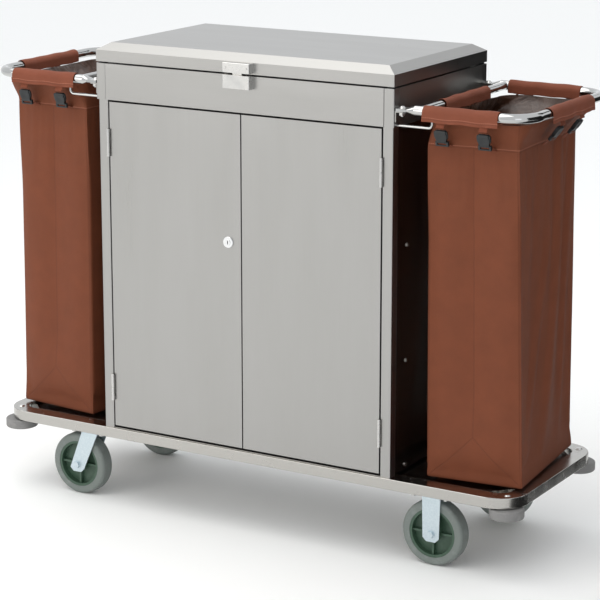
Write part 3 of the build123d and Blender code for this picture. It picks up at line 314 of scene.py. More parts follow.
def zinc_plate(name):
    """Blue-white zinc with faint crystal patches."""
    material, shader = new_material(name, "c3d0d6", 0.42, metallic=0.85)
    place = add_node(material, "ShaderNodeTexCoord")
    crystals = add_node(
        material,
        "ShaderNodeTexVoronoi",
        {"Scale": 1 / ZINC_SPANGLE},
        {"Vector": (place, "Object")},
    )
    tone = add_node(
        material,
        "ShaderNodeMix",
        {"data_type": "RGBA", 6: paint("bccad1"), 7: paint("cdd8dd")},
        {0: (crystals, "Distance")},
    )
    gloss = add_node(
        material,
        "ShaderNodeMapRange",
        {"To Min": 0.34, "To Max": 0.5},
        {"Value": (crystals, "Distance")},
    )
    material.node_tree.links.new(tone.outputs[2], shader.inputs["Base Color"])
    material.node_tree.links.new(gloss.outputs["Result"], shader.inputs["Roughness"])
    return material


finish_nodes(
    zinc_plate("zinc_plated_steel"),
    "rigid_forks",
    "rigid_axles",
    "swivel_plates",
    "front_swivel_fork",
    "rear_swivel_fork",
)


# ---- Wheels, bumper rollers and pads: grey rubber on dark green hubs ---------------------------------
# Tyres are cast thermoplastic rubber on ribbed polypropylene hubs. Rubber is matt, with dust and scuffs.
def moulded(name, base, worn, roughness, grain=0.0012, relief_depth=0.0002, **sockets):
    """Moulded rubber or plastic with a fine grain and scuffs of a second tone."""
    material, shader = new_material(name, base, roughness, **sockets)
    place = add_node(material, "ShaderNodeTexCoord")
    fine = add_node(
        material,
        "ShaderNodeTexNoise",
        {"Scale": 1 / grain, "Detail": 2.0},
        {"Vector": (place, "Object")},
    )
    scuffs = add_node(
        material,
        "ShaderNodeTexNoise",
        {"Scale": 35.0, "Detail": 6.0, "Roughness": 0.7},
        {"Vector": (place, "Object")},
    )
    share = add_node(
        material,
        "ShaderNodeMapRange",
        {"From Min": 0.5, "From Max": 0.75},
        {"Value": (scuffs, "Fac")},
    )
    tone = add_node(
        material,
        "ShaderNodeMix",
        {"data_type": "RGBA", 6: paint(base), 7: paint(worn)},
        {0: (share, "Result")},
    )
    gloss = add_node(
        material,
        "ShaderNodeMapRange",
        {"From Min": 0.3, "From Max": 0.8, "To Min": roughness - 0.08, "To Max": roughness + 0.1},
        {"Value": (scuffs, "Fac")},
    )
    relief = add_node(
        material,
        "ShaderNodeBump",
        {"Strength": 0.3, "Distance": relief_depth},
        {"Height": (fine, "Fac")},
    )
    link = material.node_tree.links.new
    link(tone.outputs[2], shader.inputs["Base Color"])
    link(gloss.outputs["Result"], shader.inputs["Roughness"])
    link(relief.outputs["Normal"], shader.inputs["Normal"])
    return material


tyre_rubber = moulded("grey_tyre_rubber", "6f7672", "858a87", 0.62)
roller_rubber = moulded("grey_roller_rubber", "7b7a79", "8f8e8c", 0.6)
hub_plastic = moulded("green_hub_polypropylene", "37503f", "4a6051", 0.42)
pad_rubber = moulded("black_pad_rubber", "1d1d1e", "2c2c2d", 0.7)
CASTERS = ("front_rigid", "rear_rigid", "front_swivel", "rear_swivel")
finish_nodes(tyre_rubber, *[f"{caster}_tyre" for caster in CASTERS])
finish_nodes(hub_plastic, *[f"{caster}_hub" for caster in CASTERS])
ROLLERS = ("front_left_roller", "front_right_roller", "rear_left_roller", "rear_right_roller")
finish_nodes(roller_rubber, *ROLLERS)
finish_nodes(pad_rubber, "lid_pads")


# ---- Laundry bags: rust nylon, hung inside the hoops ---------------------------------------------------
# Each bag is one length of coated nylon oxford, sewn to a folded box with a seamed band below its rim.
# It hangs from the hoop, its base rests on the deck, and pressed folds still show on its faces.
BAG_WIDTH, BAG_DEPTH = 0.225, 0.350
BAG_MIDDLE = 0.545
BAG_SET_BACK = 0.012  # the body hangs this far behind the hoop's middle
BAND_BELOW_RIM = 0.059
CELL = 0.0095  # spacing of the cloth's threads of mesh
CLOTH = 0.0009
CORNER_PINCH = 0.0022  # corner seams stand this far out
WEAVE = 0.0011  # spacing of the drawn threads; real ones are about 0.4 mm and would not show
SLACK = 0.022  # share by which the cut cloth is longer than its frame
TWIST = math.radians(6.0)  # each bag has turned this far on its straps
SLIMMER, SLIMMER_BEHIND = 0.08, 0.17  # share by which the band is narrower, and less deep at the rear
BULGE = 0.055  # share by which the ends stand out just below the band
RIM_INSET, RIM_CORNER = 0.021, 0.045
GUSSET_DEPTH, GUSSET_ROLL, GATHER = 0.007, 0.0025, 0.0028
SETTLE_STEPS, SETTLE_CAP = 25, 0.011
SEAM_IN = 0.004  # corner seams run this far from the folds
LINE_REACH = 0.0024  # a pressed line fades over this
STITCH_UP = 0.003  # a hem's stitches run this far above it
STITCH, STITCH_THICK = 0.005, 0.0013  # real stitches are 3 mm of 0.4 mm thread and would not show


def ease(t):
    """Smooth step from 0 to 1."""
    t = np.clip(t, 0.0, 1.0)
    return t * t * (3 - 2 * t)


def sewn_lines(material, split, hem, pressed):
    """The stitched hem at this height on the cloth map and, given half a bag's width, its ironed folds.

    Returns the node that is 1 on a line and 0 off it, and the one that is 1 on the stitches' thread.
    """
    steps = [
        ("past_hem", "SUBTRACT", "v", hem),
        ("from_hem", "ABSOLUTE", "past_hem"),
        ("past_row", "SUBTRACT", "v", hem + STITCH_UP),
        ("from_row", "ABSOLUTE", "past_row"),
        ("row", "LESS_THAN", "from_row", STITCH_THICK / 2),
        ("turns", "MULTIPLY", "u", 2 * math.pi / STITCH),
        ("wave", "SINE", "turns"),
        ("dash", "GREATER_THAN", "wave", -0.3),
        ("thread", "MULTIPLY", "row", "dash"),
    ]
    nearest = "from_hem"
    if pressed:
        # two 45 degree legs from the base's corners to an apex, a crease up from it, and corner seams
        steps += [
            ("across", "ABSOLUTE", "u"),
            ("past_apex", "SUBTRACT", "v", pressed),
            ("past_leg", "ADD", "past_apex", "across"),
            ("beside_leg", "ABSOLUTE", "past_leg"),
            ("from_leg", "MULTIPLY", "beside_leg", 0.707),
            ("under_apex", "SUBTRACT", pressed, "v"),
            ("below_apex", "MAXIMUM", "under_apex", 0.0),
            ("over_band", "MAXIMUM", "past_hem", 0.0),
            ("off_middle", "ADD", "below_apex", "over_band"),
            ("from_middle", "ADD", "across", "off_middle"),
            ("past_seam", "SUBTRACT", "across", pressed - SEAM_IN),
            ("from_seam", "ABSOLUTE", "past_seam"),
            ("from_edge", "MINIMUM", "from_hem", "from_seam"),
            ("from_fold", "MINIMUM", "from_leg", "from_middle"),
            ("nearest", "MINIMUM", "from_edge", "from_fold"),
        ]
        nearest = "nearest"
    made = {"u": (split, "X"), "v": (split, "Y")}
    for step, operation, *values in steps:
        settings = {place: value for place, value in enumerate(values) if not isinstance(value, str)}
        links = {place: made[value] for place, value in enumerate(values) if isinstance(value, str)}
        node = add_node(material, "ShaderNodeMath", {"operation": operation, **settings}, links)
        made[step] = node, "Value"
    line = add_node(
        material,
        "ShaderNodeMapRange",
        {"interpolation_type": "SMOOTHSTEP", "From Max": LINE_REACH, "To Min": 1.0, "To Max": 0.0},
        {"Value": made[nearest]},
    )
    return (line, "Result"), made["thread"]


def woven_nylon(
    name, base, dark, roughness=0.72, coat=0.0, crease=0.35, hem=None, pressed=None, crumple=(30.0, 0.004)
):
    """Plain-woven nylon on the cloth map, in metres: crossing threads, uneven dye and soft creases.

    Crumple is the creases' scale and depth; hem and pressed are as sewn_lines has them, and their lines are
    painted darker as painted shade.
    """
    material, shader = new_material(name, base, roughness, Specular_IOR_Level=0.35)
    shader.inputs["Coat Weight"].default_value = coat
    shader.inputs["Coat Roughness"].default_value = 0.25
    place = add_node(material, "ShaderNodeUVMap", {"uv_map": "cloth"})
    split = add_node(material, "ShaderNodeSeparateXYZ", links={0: (place, "UV")})
    threads = []
    for axis in ("X", "Y"):
        turns = add_node(
            material,
            "ShaderNodeMath",
            {"operation": "MULTIPLY", 1: 2 * math.pi / WEAVE},
            {0: (split, axis)},
        )
        threads.append(add_node(material, "ShaderNodeMath", {"operation": "SINE"}, {0: (turns, "Value")}))
    weave = add_node(
        material,
        "ShaderNodeMath",
        {"operation": "MULTIPLY"},
        {0: (threads[0], "Value"), 1: (threads[1], "Value")},
    )
    spot = add_node(material, "ShaderNodeTexCoord")
    dye = add_node(
        material,
        "ShaderNodeTexNoise",
        {"Scale": 22.0, "Detail": 5.0, "Roughness": 0.6},
        {"Vector": (spot, "Object")},
    )
    share = add_node(
        material,
        "ShaderNodeMath",
        {"operation": "MULTIPLY_ADD", 1: 0.12},
        {0: (weave, "Value"), 2: (dye, "Fac")},
    )
    tone = add_node(
        material,
        "ShaderNodeMix",
        {"data_type": "RGBA", 6: paint(dark), 7: paint(base)},
        {0: (share, "Value")},
    )
    folds = add_node(
        material,
        "ShaderNodeTexNoise",
        {"Scale": crumple[0], "Detail": 3.0, "Distortion": 0.8},
        {"Vector": (spot, "Object")},
    )
    creases = add_node(
        material,
        "ShaderNodeBump",
        {"Strength": crease, "Distance": crumple[1]},
        {"Height": (folds, "Fac")},
    )
    relief = add_node(
        material,
        "ShaderNodeBump",
        {"Strength": 0.35, "Distance": 0.0004},
        {"Height": (weave, "Value"), "Normal": (creases, "Normal")},
    )
    coloured, shaped = (tone, 2), relief
    if hem:
        line, thread = sewn_lines(material, split, hem, pressed)
        # the hem and the pressed folds are mixed a little toward dark brown along their lines: painted shade
        # in their creases
        crease_shade_share = add_node(material, "ShaderNodeMath", {"operation": "MULTIPLY", 1: 0.2}, {0: line})
        crease_shaded = add_node(
            material,
            "ShaderNodeMix",
            {"data_type": "RGBA", 7: paint("3a1c12")},
            {0: (crease_shade_share, "Value"), 6: coloured},
        )
        coloured = add_node(
            material,
            "ShaderNodeMix",
            {"data_type": "RGBA", 7: paint("a86a54")},
            {0: thread, 6: (crease_shaded, 2)},
        ), 2
        shaped = add_node(
            material,
            "ShaderNodeBump",
            {"Strength": 0.45, "Distance": 0.0012, "invert": True},
            {"Height": line, "Normal": (relief, "Normal")},
        )
    material.node_tree.links.new(coloured[0].outputs[coloured[1]], shader.inputs["Base Color"])
    material.node_tree.links.new(shaped.outputs["Normal"], shader.inputs["Normal"])
    return material


def map_cloth(piece, panel=0.0):
    """Lays a map named cloth on a piece, in metres, with the panels that face X this far along it."""
    layer = piece.data.uv_layers.get("cloth") or piece.data.uv_layers.new(name="cloth")
    for face in piece.data.polygons:
        lean = [abs(part) for part in face.normal]
        for corner in face.loop_indices:
            x, y, z = piece.data.vertices[piece.data.loops[corner].vertex_index].co
            if lean[2] > max(lean[:2]):
                layer.data[corner].uv = (x, y)
            else:
                layer.data[corner].uv = (x if lean[1] > lean[0] else y + panel, z)


rust_nylon = woven_nylon(
    "rust_nylon_oxford",
    "7a3f24",
    "66341c",
    crease=0.1,
    hem=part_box("right_bag")[1].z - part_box("right_bag")[0].z - BAND_BELOW_RIM,
    pressed=BAG_WIDTH / 2,
)
coated_lining = woven_nylon(
    "dark_coated_lining", "5a3c2c", "35231b", roughness=0.3, coat=0.7, crease=1.0, crumple=(15.0, 0.03)
)


def read_places(piece):
    places = np.empty(len(piece.data.vertices) * 3)
    piece.data.vertices.foreach_get("co", places)
    return places.reshape(-1, 3)


def write_places(piece, places):
    piece.data.vertices.foreach_set("co", places.ravel())
    piece.data.update()


def cut_bag(name):
    """An open-topped box of cloth about the origin, its base at z 0, in square cells."""
    lowest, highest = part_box(name)
    height = highest.z - lowest.z
    columns, rows, levels = (round(length / CELL) for length in (BAG_WIDTH, BAG_DEPTH, height))
    bpy.ops.object.select_all(action="DESELECT")
    bpy.ops.mesh.primitive_grid_add(x_subdivisions=columns, y_subdivisions=rows, size=1.0)
    bag = bpy.context.object
    bag.name = name + "_cloth"
    bag.scale = (BAG_WIDTH, BAG_DEPTH, 1.0)
    bpy.ops.object.transform_apply(scale=True)
    bpy.ops.object.mode_set(mode="EDIT")
    bpy.ops.mesh.select_all(action="DESELECT")
    bpy.ops.mesh.select_non_manifold()
    for _ in range(levels):
        bpy.ops.mesh.extrude_region_move(TRANSFORM_OT_translate={"value": (0, 0, height / levels)})
    bpy.ops.mesh.select_all(action="SELECT")
    bpy.ops.mesh.normals_make_consistent(inside=False)
    bpy.ops.object.mode_set(mode="OBJECT")
    map_cloth(bag, panel=1.0)
    return bag


def shape_bag(bag, name, side, folds):
    """Flares the band to the hoop, presses in the gusset folds and lays soft folds down the wide faces."""
    lowest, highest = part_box(name)
    flat = read_places(bag)
    x, y, z = flat.T
    height = highest.z - lowest.z
    band = height - BAND_BELOW_RIM
    flare = ease((z - band) / BAND_BELOW_RIM)
    half_x, half_y = BAG_WIDTH / 2, BAG_DEPTH / 2
    rim_half_y = (highest.y - lowest.y) / 2
    rim_outer = highest.x if side > 0 else -lowest.x
    rim_inner = BAG_MIDDLE - half_x + RIM_INSET
    wide_face = np.abs(np.abs(x) - half_x) < 1e-5
    narrow_face = np.abs(np.abs(y) - half_y) < 1e-5
    on_wall = wide_face | narrow_face
    corner = wide_face & narrow_face
    a, b = x / half_x, y / half_y
    # gusset: a valley down the middle of the narrow faces, ending on two folds to the base's corners
    fold_height = half_x * (1 - np.abs(a))
    opened = ease((z - fold_height) / 0.10) * (1 - 0.55 * ease((z - band + 0.22) / 0.22))
    valley = -GUSSET_DEPTH * (1 - np.abs(a)) ** 2 * opened
    roll = GUSSET_ROLL * np.sin(math.pi * (a + 1)) ** 2 * ease(z / 0.1)
    push_y = np.where(narrow_face & ~corner, valley, 0.0)
    push_y += np.where(narrow_face & ~corner, roll, 0.0)
    push_x = np.zeros(len(x))
    for middle, drift, width, depth in folds:
        fold = depth * np.exp(-(((b - middle - drift * (z / height)) / width) ** 2))
        push_x += np.where(wide_face & ~corner, fold * ease(z / 0.25) * (1 - 0.5 * flare), 0.0)
    gather = GATHER * np.sin(b * 31 + 4 * a) * np.clip(np.abs(b) * 2 - 0.9, 0, 1) * flare
    push_x += np.where(wide_face & ~corner, gather, 0.0)
    push_x += np.where(corner, CORNER_PINCH, 0.0)
    push_y += np.where(corner, CORNER_PINCH, 0.0)
    new_x = x * (1 + flare * ((rim_outer - rim_inner) / 2 / half_x - 1)) + np.sign(a) * push_x
    new_y = y * (1 + flare * (rim_half_y / half_y - 1)) + np.sign(b) * push_y
    # the rim's corners are rounded to the hoop
    radius = 0.001 + RIM_CORNER * flare
    core_x = np.clip(new_x, -(half_x - radius), half_x - radius)
    core_reach = half_y + flare * (rim_half_y - half_y) - radius
    core_y = np.clip(new_y, -core_reach, core_reach)
    out_x, out_y = new_x - core_x, new_y - core_y
    length = np.hypot(out_x, out_y)
    rounded = on_wall & (np.abs(out_x) > 1e-6) & (np.abs(out_y) > 1e-6) & (flare > 0.02)
    scale = np.where(rounded, radius / np.maximum(length, 1e-6), 1.0)
    new_x = core_x + out_x * scale
    new_y = core_y + out_y * scale
    # the body hangs a little twisted, and bulges below the front and rear arms
    below_band = 1 - ease((band - z) / 0.22)
    new_y *= 1 + BULGE * below_band * (1 - flare)
    slim = (0.25 + 0.75 * z / height) * (1 - flare)
    new_x = -side * half_x + (new_x + side * half_x) * (1 - SLIMMER * slim)
    new_y = np.where(b > 0, new_y * (1 - SLIMMER_BEHIND * slim), new_y)
    turn = side * TWIST * (1 - flare) * (0.65 + 0.35 * (1 - z / height))
    turned_x = new_x * np.cos(turn) - new_y * np.sin(turn)
    turned_y = new_x * np.sin(turn) + new_y * np.cos(turn)
    middle_x = side * (BAG_MIDDLE + flare * ((rim_outer + rim_inner) / 2 - BAG_MIDDLE))
    middle_y = BAG_SET_BACK * (1 - flare)
    above_deck = lowest.z + 0.001 + z * (1 - 0.001)
    write_places(bag, np.stack([middle_x + turned_x, middle_y + turned_y, above_deck], axis=1))
    return flat


def hang_bag(bag, flat):
    """Lets the cloth settle: the band and the base stay, and the walls find their own soft folds."""
    start = read_places(bag)
    height = flat[:, 2].max()
    is_held = (flat[:, 2] > height - BAND_BELOW_RIM) | (flat[:, 2] < 0.001)
    pins = bag.vertex_groups.new(name="held")
    pins.add([int(index) for index in np.nonzero(is_held)[0]], 1.0, "REPLACE")
    bpy.context.view_layer.objects.active = bag
    cloth = bag.modifiers.new("settle", "CLOTH")
    cloth.settings.quality = 5
    cloth.settings.mass = 0.25
    cloth.settings.tension_stiffness = 25
    cloth.settings.compression_stiffness = 25
    cloth.settings.shear_stiffness = 12
    cloth.settings.bending_stiffness = 1.2
    cloth.settings.vertex_group_mass = "held"
    cloth.settings.shrink_min = -SLACK
    cloth.settings.use_pressure = True
    cloth.settings.uniform_pressure_force = 0.25
    cloth.collision_settings.use_collision = False
    for step in range(1, SETTLE_STEPS + 1):
        bpy.context.scene.frame_set(step)
    bpy.ops.object.modifier_apply(modifier="settle")
    bpy.context.scene.frame_set(1)
    moved = read_places(bag) - start
    reach = np.linalg.norm(moved, axis=1, keepdims=True)
    # no cloth moves further than the cap, and less near the base, whose folds stay crisp
    settled = ease(flat[:, 2:] / 0.09)
    write_places(bag, start + moved * settled * np.minimum(1.0, SETTLE_CAP / np.maximum(reach, 1e-9)))


def finish_bag(bag, name):
    """Gives the cloth its thickness, its lining and its place on the cart."""
    bag.data.materials.append(rust_nylon)
    bag.data.materials.append(coated_lining)
    bpy.ops.object.select_all(action="DESELECT")
    bag.select_set(True)
    bpy.context.view_layer.objects.active = bag
    smooth = bag.modifiers.new("smooth", "SUBSURF")
    smooth.levels = smooth.render_levels = 1
    bpy.ops.object.modifier_apply(modifier="smooth")
    wall = bag.modifiers.new("wall", "SOLIDIFY")
    wall.thickness = CLOTH
    wall.offset = -1.0
    wall.material_offset = 1
    bpy.ops.object.modifier_apply(modifier="wall")
    bpy.ops.object.shade_smooth_by_angle(angle=math.radians(50))
    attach(bag, "root")
    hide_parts(name)


# Soft folds down the wide faces: place across, drift from foot to rim, width and depth
RIGHT_FOLDS = [
    (-0.9, 1.3, 0.09, 0.010),
    (-0.3, 0.9, 0.10, 0.008),
    (0.5, 0.4, 0.08, 0.007),
    (0.05, -0.2, 0.2, 0.004),
]
LEFT_FOLDS = [(-0.5, 0.2, 0.15, 0.005), (0.1, -0.2, 0.18, 0.004), (0.6, 0.1, 0.12, 0.005)]
for name, side, folds in (("left_bag", -1, LEFT_FOLDS), ("right_bag", 1, RIGHT_FOLDS)):
    bag = cut_bag(name)
    flat = shape_bag(bag, name, side, folds)
    hang_bag(bag, flat)
    finish_bag(bag, name)


# ---- Sleeves: the bags' rims, folded over the hoops ----------------------------------------------------
# Four tongues of the same nylon at each bag's rim go up inside the tube, over it and down outside, and
# end in a stitched hem. Buckled straps pull the hems down, so the cloth puckers between them.
SLEEVE_SIDE_LENGTH, SLEEVE_END_LENGTH = 0.176, 0.216
SLEEVE_MIDDLE = 0.540  # middle of the sleeves on the hoop's arms
SLEEVE_CELL = 0.004
SLEEVE_CLOTH = 0.0012
TUBE_RADIUS, CROSSBAR_RADIUS = 0.011, 0.0095
SLEEVE_WALL = 0.0022
SLEEVE_OFF_TUBE = 0.0019  # from the tube to the middle of the cloth
HEM_BELOW_TUBE = 0.020
RIM_BELOW_TUBE = 0.016
HEM_STITCHES = 0.006  # above the hem
STRAP_PITCH = 0.100

sleeve_nylon = woven_nylon("rust_nylon_sleeve", "83452e", "703924", crease=0.2, hem=HEM_STITCHES)


def sleeve_section(share, radius):
    """Offset outward and up from the tube's axis, at this share of the way from the rim to the hem."""
    inner, over = RIM_BELOW_TUBE, math.pi * radius
    total = inner + over + HEM_BELOW_TUBE
    way = share * total
    if way < inner:
        return -radius, way - inner
    if way < inner + over:
        turn = math.pi - (way - inner) / radius
        return radius * math.cos(turn), radius * math.sin(turn)
    return radius, -(way - inner - over)


def sleeve(name, middle, along, outward, length, tube_radius, seed):
    """A sleeve about the tube through middle, whose length runs along and whose flap hangs outward."""
    radius = tube_radius + SLEEVE_OFF_TUBE
    total = RIM_BELOW_TUBE + math.pi * radius + HEM_BELOW_TUBE
    bpy.ops.object.select_all(action="DESELECT")
    columns, rows = round(length / SLEEVE_CELL), round(total / SLEEVE_CELL * 1.6)
    bpy.ops.mesh.primitive_grid_add(x_subdivisions=columns, y_subdivisions=rows, size=1.0)
    piece = bpy.context.object
    piece.name = name
    layer = piece.data.uv_layers.new(name="cloth")
    for corner in piece.data.loops:
        x, y, _ = piece.data.vertices[corner.vertex_index].co
        layer.data[corner.index].uv = (x * length, (0.5 - y) * total)
    chance = random.Random(seed)
    phases = [chance.uniform(0, 2 * math.pi) for _ in range(4)]
    middle, along, outward = Vector(middle), Vector(along), Vector(outward)
    for vertex in piece.data.vertices:
        run, share = vertex.co.x * length, vertex.co.y + 0.5
        out, up = sleeve_section(share, radius)
        loose = max(0.0, share - 0.62) / 0.38
        pucker = 0.0011 * math.sin(run * 150 + phases[0]) * loose
        pucker += 0.0009 * math.sin(run * 63 + phases[1]) * (0.3 + loose)
        pull = sum(math.exp(-(((run - spot * STRAP_PITCH / 2) / 0.014) ** 2)) for spot in (-1, 1))
        bulge = 1 + 0.03 * math.sin(run * 70 + phases[2]) * math.sin(math.pi * share)
        out, up = out * bulge, up * bulge
        out += (0.0022 + pucker) * loose - 0.0026 * pull * loose**2
        up += 0.0006 * math.sin(run * 90 + phases[3]) - 0.0012 * pull * loose
        run *= 1 + 0.012 * loose
        vertex.co = middle + along * run + outward * out + Vector((0, 0, up))
    bpy.ops.object.mode_set(mode="EDIT")
    bpy.ops.mesh.select_all(action="SELECT")
    bpy.ops.mesh.normals_make_consistent(inside=False)
    bpy.ops.object.mode_set(mode="OBJECT")
    wall = piece.modifiers.new("wall", "SOLIDIFY")
    wall.thickness = SLEEVE_CLOTH
    wall.offset = 0.0
    bpy.ops.object.modifier_apply(modifier="wall")
    smooth = piece.modifiers.new("smooth", "SUBSURF")
    smooth.levels = smooth.render_levels = 1
    bpy.ops.object.modifier_apply(modifier="smooth")
    bpy.ops.object.shade_smooth_by_angle(angle=math.radians(50))
    piece.data.materials.append(sleeve_nylon)
    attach(piece, "root")
    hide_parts("bag_sleeves")
    return piece, total


def hoop_lines(side):
    """The four tubes under one bag's sleeves: name, middle, direction, outward, length and tube radius."""
    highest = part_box("bag_sleeves")[1]
    wrap = TUBE_RADIUS + SLEEVE_WALL
    height, arm_y, reach = highest.z - wrap, highest.y - wrap, highest.x - wrap
    bar_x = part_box("hoop_crossbars")[1].x - CROSSBAR_RADIUS
    along_x, along_y = (1, 0, 0), (0, 1, 0)
    arm_x = side * SLEEVE_MIDDLE
    return [
        ("front", (arm_x, -arm_y, height), along_x, (0, -1, 0), SLEEVE_SIDE_LENGTH, TUBE_RADIUS),
        ("rear", (arm_x, arm_y, height), along_x, (0, 1, 0), SLEEVE_SIDE_LENGTH, TUBE_RADIUS),
        ("end", (side * reach, 0, height), along_y, (side, 0, 0), SLEEVE_END_LENGTH, TUBE_RADIUS),
        ("inner", (side * bar_x, 0, height), along_y, (-side, 0, 0), SLEEVE_END_LENGTH, CROSSBAR_RADIUS),
    ]


for side, side_name in ((-1, "left"), (1, "right")):
    for seed, line in enumerate(hoop_lines(side)):
        place_name, middle, along, outward, length, tube_radius = line
        name = f"{side_name}_bag_sleeve_{place_name}"
        piece, total = sleeve(name, middle, along, outward, length, tube_radius, seed + 10 * side)


# ---- Straps and buckles --------------------------------------------------------------------------------
# From each hem to the bag's band runs a 20 mm strap of the same rust colour, joined by a black acetal
# side-release buckle: a slotted bar and two sprung prongs that snap into a hollow body with a second bar.
STRAP_WIDTH, STRAP_CLOTH = 0.019, 0.0014
STRAP_OVER_BAR = 0.0055  # a tongue rises this far to pass over its bar
BUCKLE_DEPTH, BUCKLE_HALF_LENGTH = 0.008, 0.023
BODY_WIDTH, BODY_LENGTH = 0.0252, 0.0265
BAR_HEIGHT, SLOT_WIDTH, SLOT_HEIGHT = 0.0105, 0.0215, 0.0040
PRONG_X, PRONG_Y, PRONG_BOW = 0.0132, 0.0035, 0.0014
BAND_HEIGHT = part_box("right_bag")[1].z - BAND_BELOW_RIM
BELOW_HEM = 0.005  # from a flap's hem to its buckle

black_acetal = moulded("black_acetal", "15191b", "1f2427", 0.46, grain=0.0009)
webbing_cloth = woven_nylon("rust_strap_webbing", "7e4129", "693421", roughness=0.8, crease=0.1)


def slotted_bar(width, depth, at_y):
    """A flat bar across the buckle with a slot right through it for the strap, its back on Z 0."""
    bpy.ops.object.select_all(action="DESELECT")
    bpy.ops.mesh.primitive_grid_add(x_subdivisions=3, y_subdivisions=3, size=1.0)
    bar = bpy.context.object
    for face in bar.data.polygons:
        face.select = abs(face.center.x) < 0.1 and abs(face.center.y) < 0.1
    bpy.ops.object.mode_set(mode="EDIT")
    bpy.ops.mesh.select_mode(type="FACE")
    bpy.ops.mesh.delete(type="FACE")
    bpy.ops.object.mode_set(mode="OBJECT")
    for vertex in bar.data.vertices:
        x, y, _ = vertex.co
        vertex.co.x = math.copysign((width if abs(x) > 0.4 else SLOT_WIDTH) / 2, x)
        vertex.co.y = at_y + math.copysign((BAR_HEIGHT if abs(y) > 0.4 else SLOT_HEIGHT) / 2, y)
    wall = bar.modifiers.new("wall", "SOLIDIFY")
    wall.thickness = depth
    wall.offset = 1.0
    bpy.ops.object.modifier_apply(modifier="wall")
    return bar


def buckle_model():
    """One buckle about the origin, its length along Y with the upper bar at +Y, its back on Z 0."""
    upper = slotted_bar(width=0.0285, depth=0.0060, at_y=0.0175)
    lower = slotted_bar(width=0.0298, depth=0.0064, at_y=-0.0176)
    bpy.ops.mesh.primitive_cube_add(size=1.0, location=(0, -0.0005, BUCKLE_DEPTH / 2))
    body = bpy.context.object
    body.scale = (BODY_WIDTH, BODY_LENGTH, BUCKLE_DEPTH)
    bpy.ops.object.transform_apply(location=True, scale=True)
    bpy.ops.object.mode_set(mode="EDIT")
    bpy.ops.mesh.subdivide(number_cuts=5)
    bpy.ops.object.mode_set(mode="OBJECT")
    for vertex in body.data.vertices:
        rise = vertex.co.y / BODY_LENGTH
        vertex.co.x *= 1.0 + 0.10 * math.cos(rise * 2 * math.pi) + 0.05 * rise
        vertex.co.z = min(vertex.co.z, BUCKLE_DEPTH * (1 - 1.1 * max(0.0, abs(rise) - 0.35)))
        if vertex.co.z > BUCKLE_DEPTH * 0.9 and abs(vertex.co.x) < 0.0065 and abs(rise) < 0.3:
            vertex.co.z -= 0.0011
    prongs = []
    for hand in (-1, 1):
        bpy.ops.mesh.primitive_cube_add(size=1.0, location=(hand * PRONG_X, PRONG_Y, BUCKLE_DEPTH / 2))
        prong = bpy.context.object
        prong.scale = (0.0030, 0.0155, 0.0046)
        bpy.ops.object.transform_apply(location=True, scale=True)
        bpy.ops.object.mode_set(mode="EDIT")
        bpy.ops.mesh.subdivide(number_cuts=4)
        bpy.ops.object.mode_set(mode="OBJECT")
        for vertex in prong.data.vertices:
            bow = 1 - ((vertex.co.y - PRONG_Y) / 0.0085) ** 2
            vertex.co.x += hand * PRONG_BOW * bow
        prongs.append(prong)
    bpy.ops.object.select_all(action="DESELECT")
    for part in (upper, lower, body, *prongs):
        part.select_set(True)
    bpy.context.view_layer.objects.active = body
    bpy.ops.object.join()
    edge = body.modifiers.new("edge", "BEVEL")
    edge.width = 0.0006
    edge.segments = 2
    edge.limit_method = "ANGLE"
    edge.angle_limit = math.radians(40)
    bpy.ops.object.modifier_apply(modifier="edge")
    bpy.ops.object.shade_smooth_by_angle(angle=math.radians(40))
    body.data.materials.append(black_acetal)
    return body


def strap(name, hem_end, band_end):
    """The strap in two tongues, sewn to the hem and to the band and each ending in a bar's slot."""
    tongues = []
    for bar, far in ((Vector((0, 0.0174, 0.0012)), hem_end), (Vector((0, -0.0178, 0.0012)), band_end)):
        run = far - bar
        bpy.ops.mesh.primitive_cube_add(size=1.0)
        tongue = bpy.context.object
        bpy.ops.object.mode_set(mode="EDIT")
        bpy.ops.mesh.subdivide(number_cuts=9)
        bpy.ops.object.mode_set(mode="OBJECT")
        away = Vector((0, -run.z, run.y)).normalized() * math.copysign(1, run.y)
        for vertex in tongue.data.vertices:
            x, share, rise = vertex.co.x, vertex.co.y + 0.5, vertex.co.z
            over_bar = STRAP_OVER_BAR * math.exp(-(((share * run.length - 0.0030) / 0.0032) ** 2))
            place = bar + run * share + away * rise * STRAP_CLOTH + Vector((0, 0, over_bar))
            vertex.co = place + Vector((x * STRAP_WIDTH, 0, 0))
        tongues.append(tongue)
    bpy.ops.object.select_all(action="DESELECT")
    for tongue in tongues:
        tongue.select_set(True)
    bpy.context.view_layer.objects.active = tongues[0]
    bpy.ops.object.join()
    bpy.ops.object.mode_set(mode="EDIT")
    bpy.ops.mesh.select_all(action="SELECT")
    bpy.ops.mesh.normals_make_consistent(inside=False)
    bpy.ops.object.mode_set(mode="OBJECT")
    tongues[0].name = name
    tongues[0].data.materials.append(webbing_cloth)
    map_cloth(tongues[0])
    bpy.ops.object.shade_smooth_by_angle(angle=math.radians(50))
    return tongues[0]


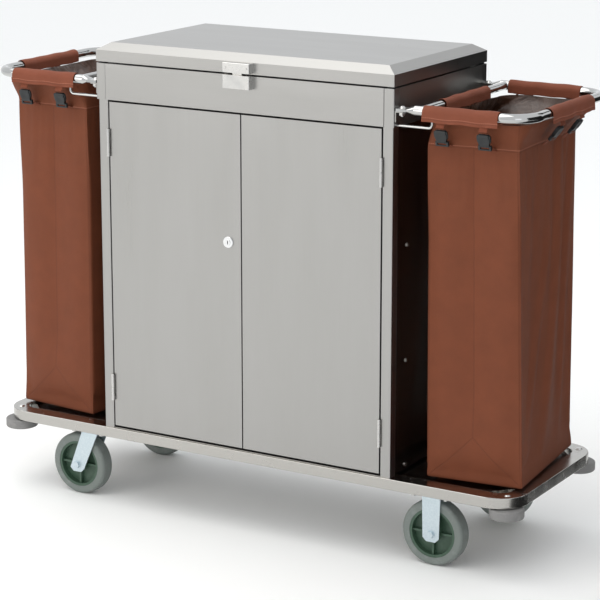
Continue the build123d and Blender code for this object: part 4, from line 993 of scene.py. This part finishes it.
def strap_frame(top, lean, across):
    """The matrix that lays a buckle's X across the strap, its Y up it and its Z away from the bag."""
    upward = -Vector(lean).normalized()
    facing = Vector(across).cross(upward)
    middle = Vector(top) - upward * (BELOW_HEM + BUCKLE_HALF_LENGTH)
    turned = Matrix((Vector(across), upward, facing)).transposed().to_4x4()
    return Matrix.Translation(middle) @ turned


buckle_original = buckle_model()
for side, side_name in ((-1, "left"), (1, "right")):
    lines = {line[0]: line for line in hoop_lines(side)}
    arm_y = lines["rear"][1][1] + TUBE_RADIUS
    end_x = abs(lines["end"][1][0]) + TUBE_RADIUS
    bar_x = abs(lines["inner"][1][0]) - CROSSBAR_RADIUS - 0.002
    hem = lines["rear"][1][2] - HEM_BELOW_TUBE
    spots = []  # a strap's place on its hem, its lean, its place on the band, and the way across it
    for pitch in (-STRAP_PITCH / 2, STRAP_PITCH / 2):
        x = side * BAG_MIDDLE + pitch
        for end in (-1, 1):
            band = (x, BAG_SET_BACK + end * (BAG_DEPTH / 2 + 0.008), BAND_HEIGHT)
            spots.append(((x, end * arm_y, hem), (0, -end * 0.30, -1), band, (-end, 0, 0)))
        band = (side * (BAG_MIDDLE + BAG_WIDTH / 2), pitch, BAND_HEIGHT)
        spots.append(((side * end_x, pitch, hem), (-side * 0.72, 0, -1), band, (0, side, 0)))
        band = (side * (BAG_MIDDLE - BAG_WIDTH / 2), pitch, BAND_HEIGHT)
        spots.append(((side * bar_x, pitch, hem), (side * 0.1, 0, -1), band, (0, -side, 0)))
    made = {"buckles": [], "straps": []}
    for top, lean, band, across in spots:
        place = strap_frame(top, lean, across)
        body = buckle_original.copy()
        body.data = buckle_original.data.copy()
        bpy.context.collection.objects.link(body)
        body.data.transform(place)
        made["buckles"].append(body)
        to_buckle = place.inverted()
        hem_end = to_buckle @ (Vector(top) + Vector((0, 0, 0.006)))
        band_strap = strap(f"{side_name}_strap", hem_end, to_buckle @ Vector(band))
        band_strap.data.transform(place)
        made["straps"].append(band_strap)
    for kind, pieces in made.items():
        bpy.ops.object.select_all(action="DESELECT")
        for piece in pieces:
            piece.select_set(True)
        bpy.context.view_layer.objects.active = pieces[0]
        bpy.ops.object.join()
        pieces[0].name = f"{side_name}_bag_{kind}"
        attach(pieces[0], "root")
    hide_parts("bag_buckles")
bpy.data.objects.remove(buckle_original)
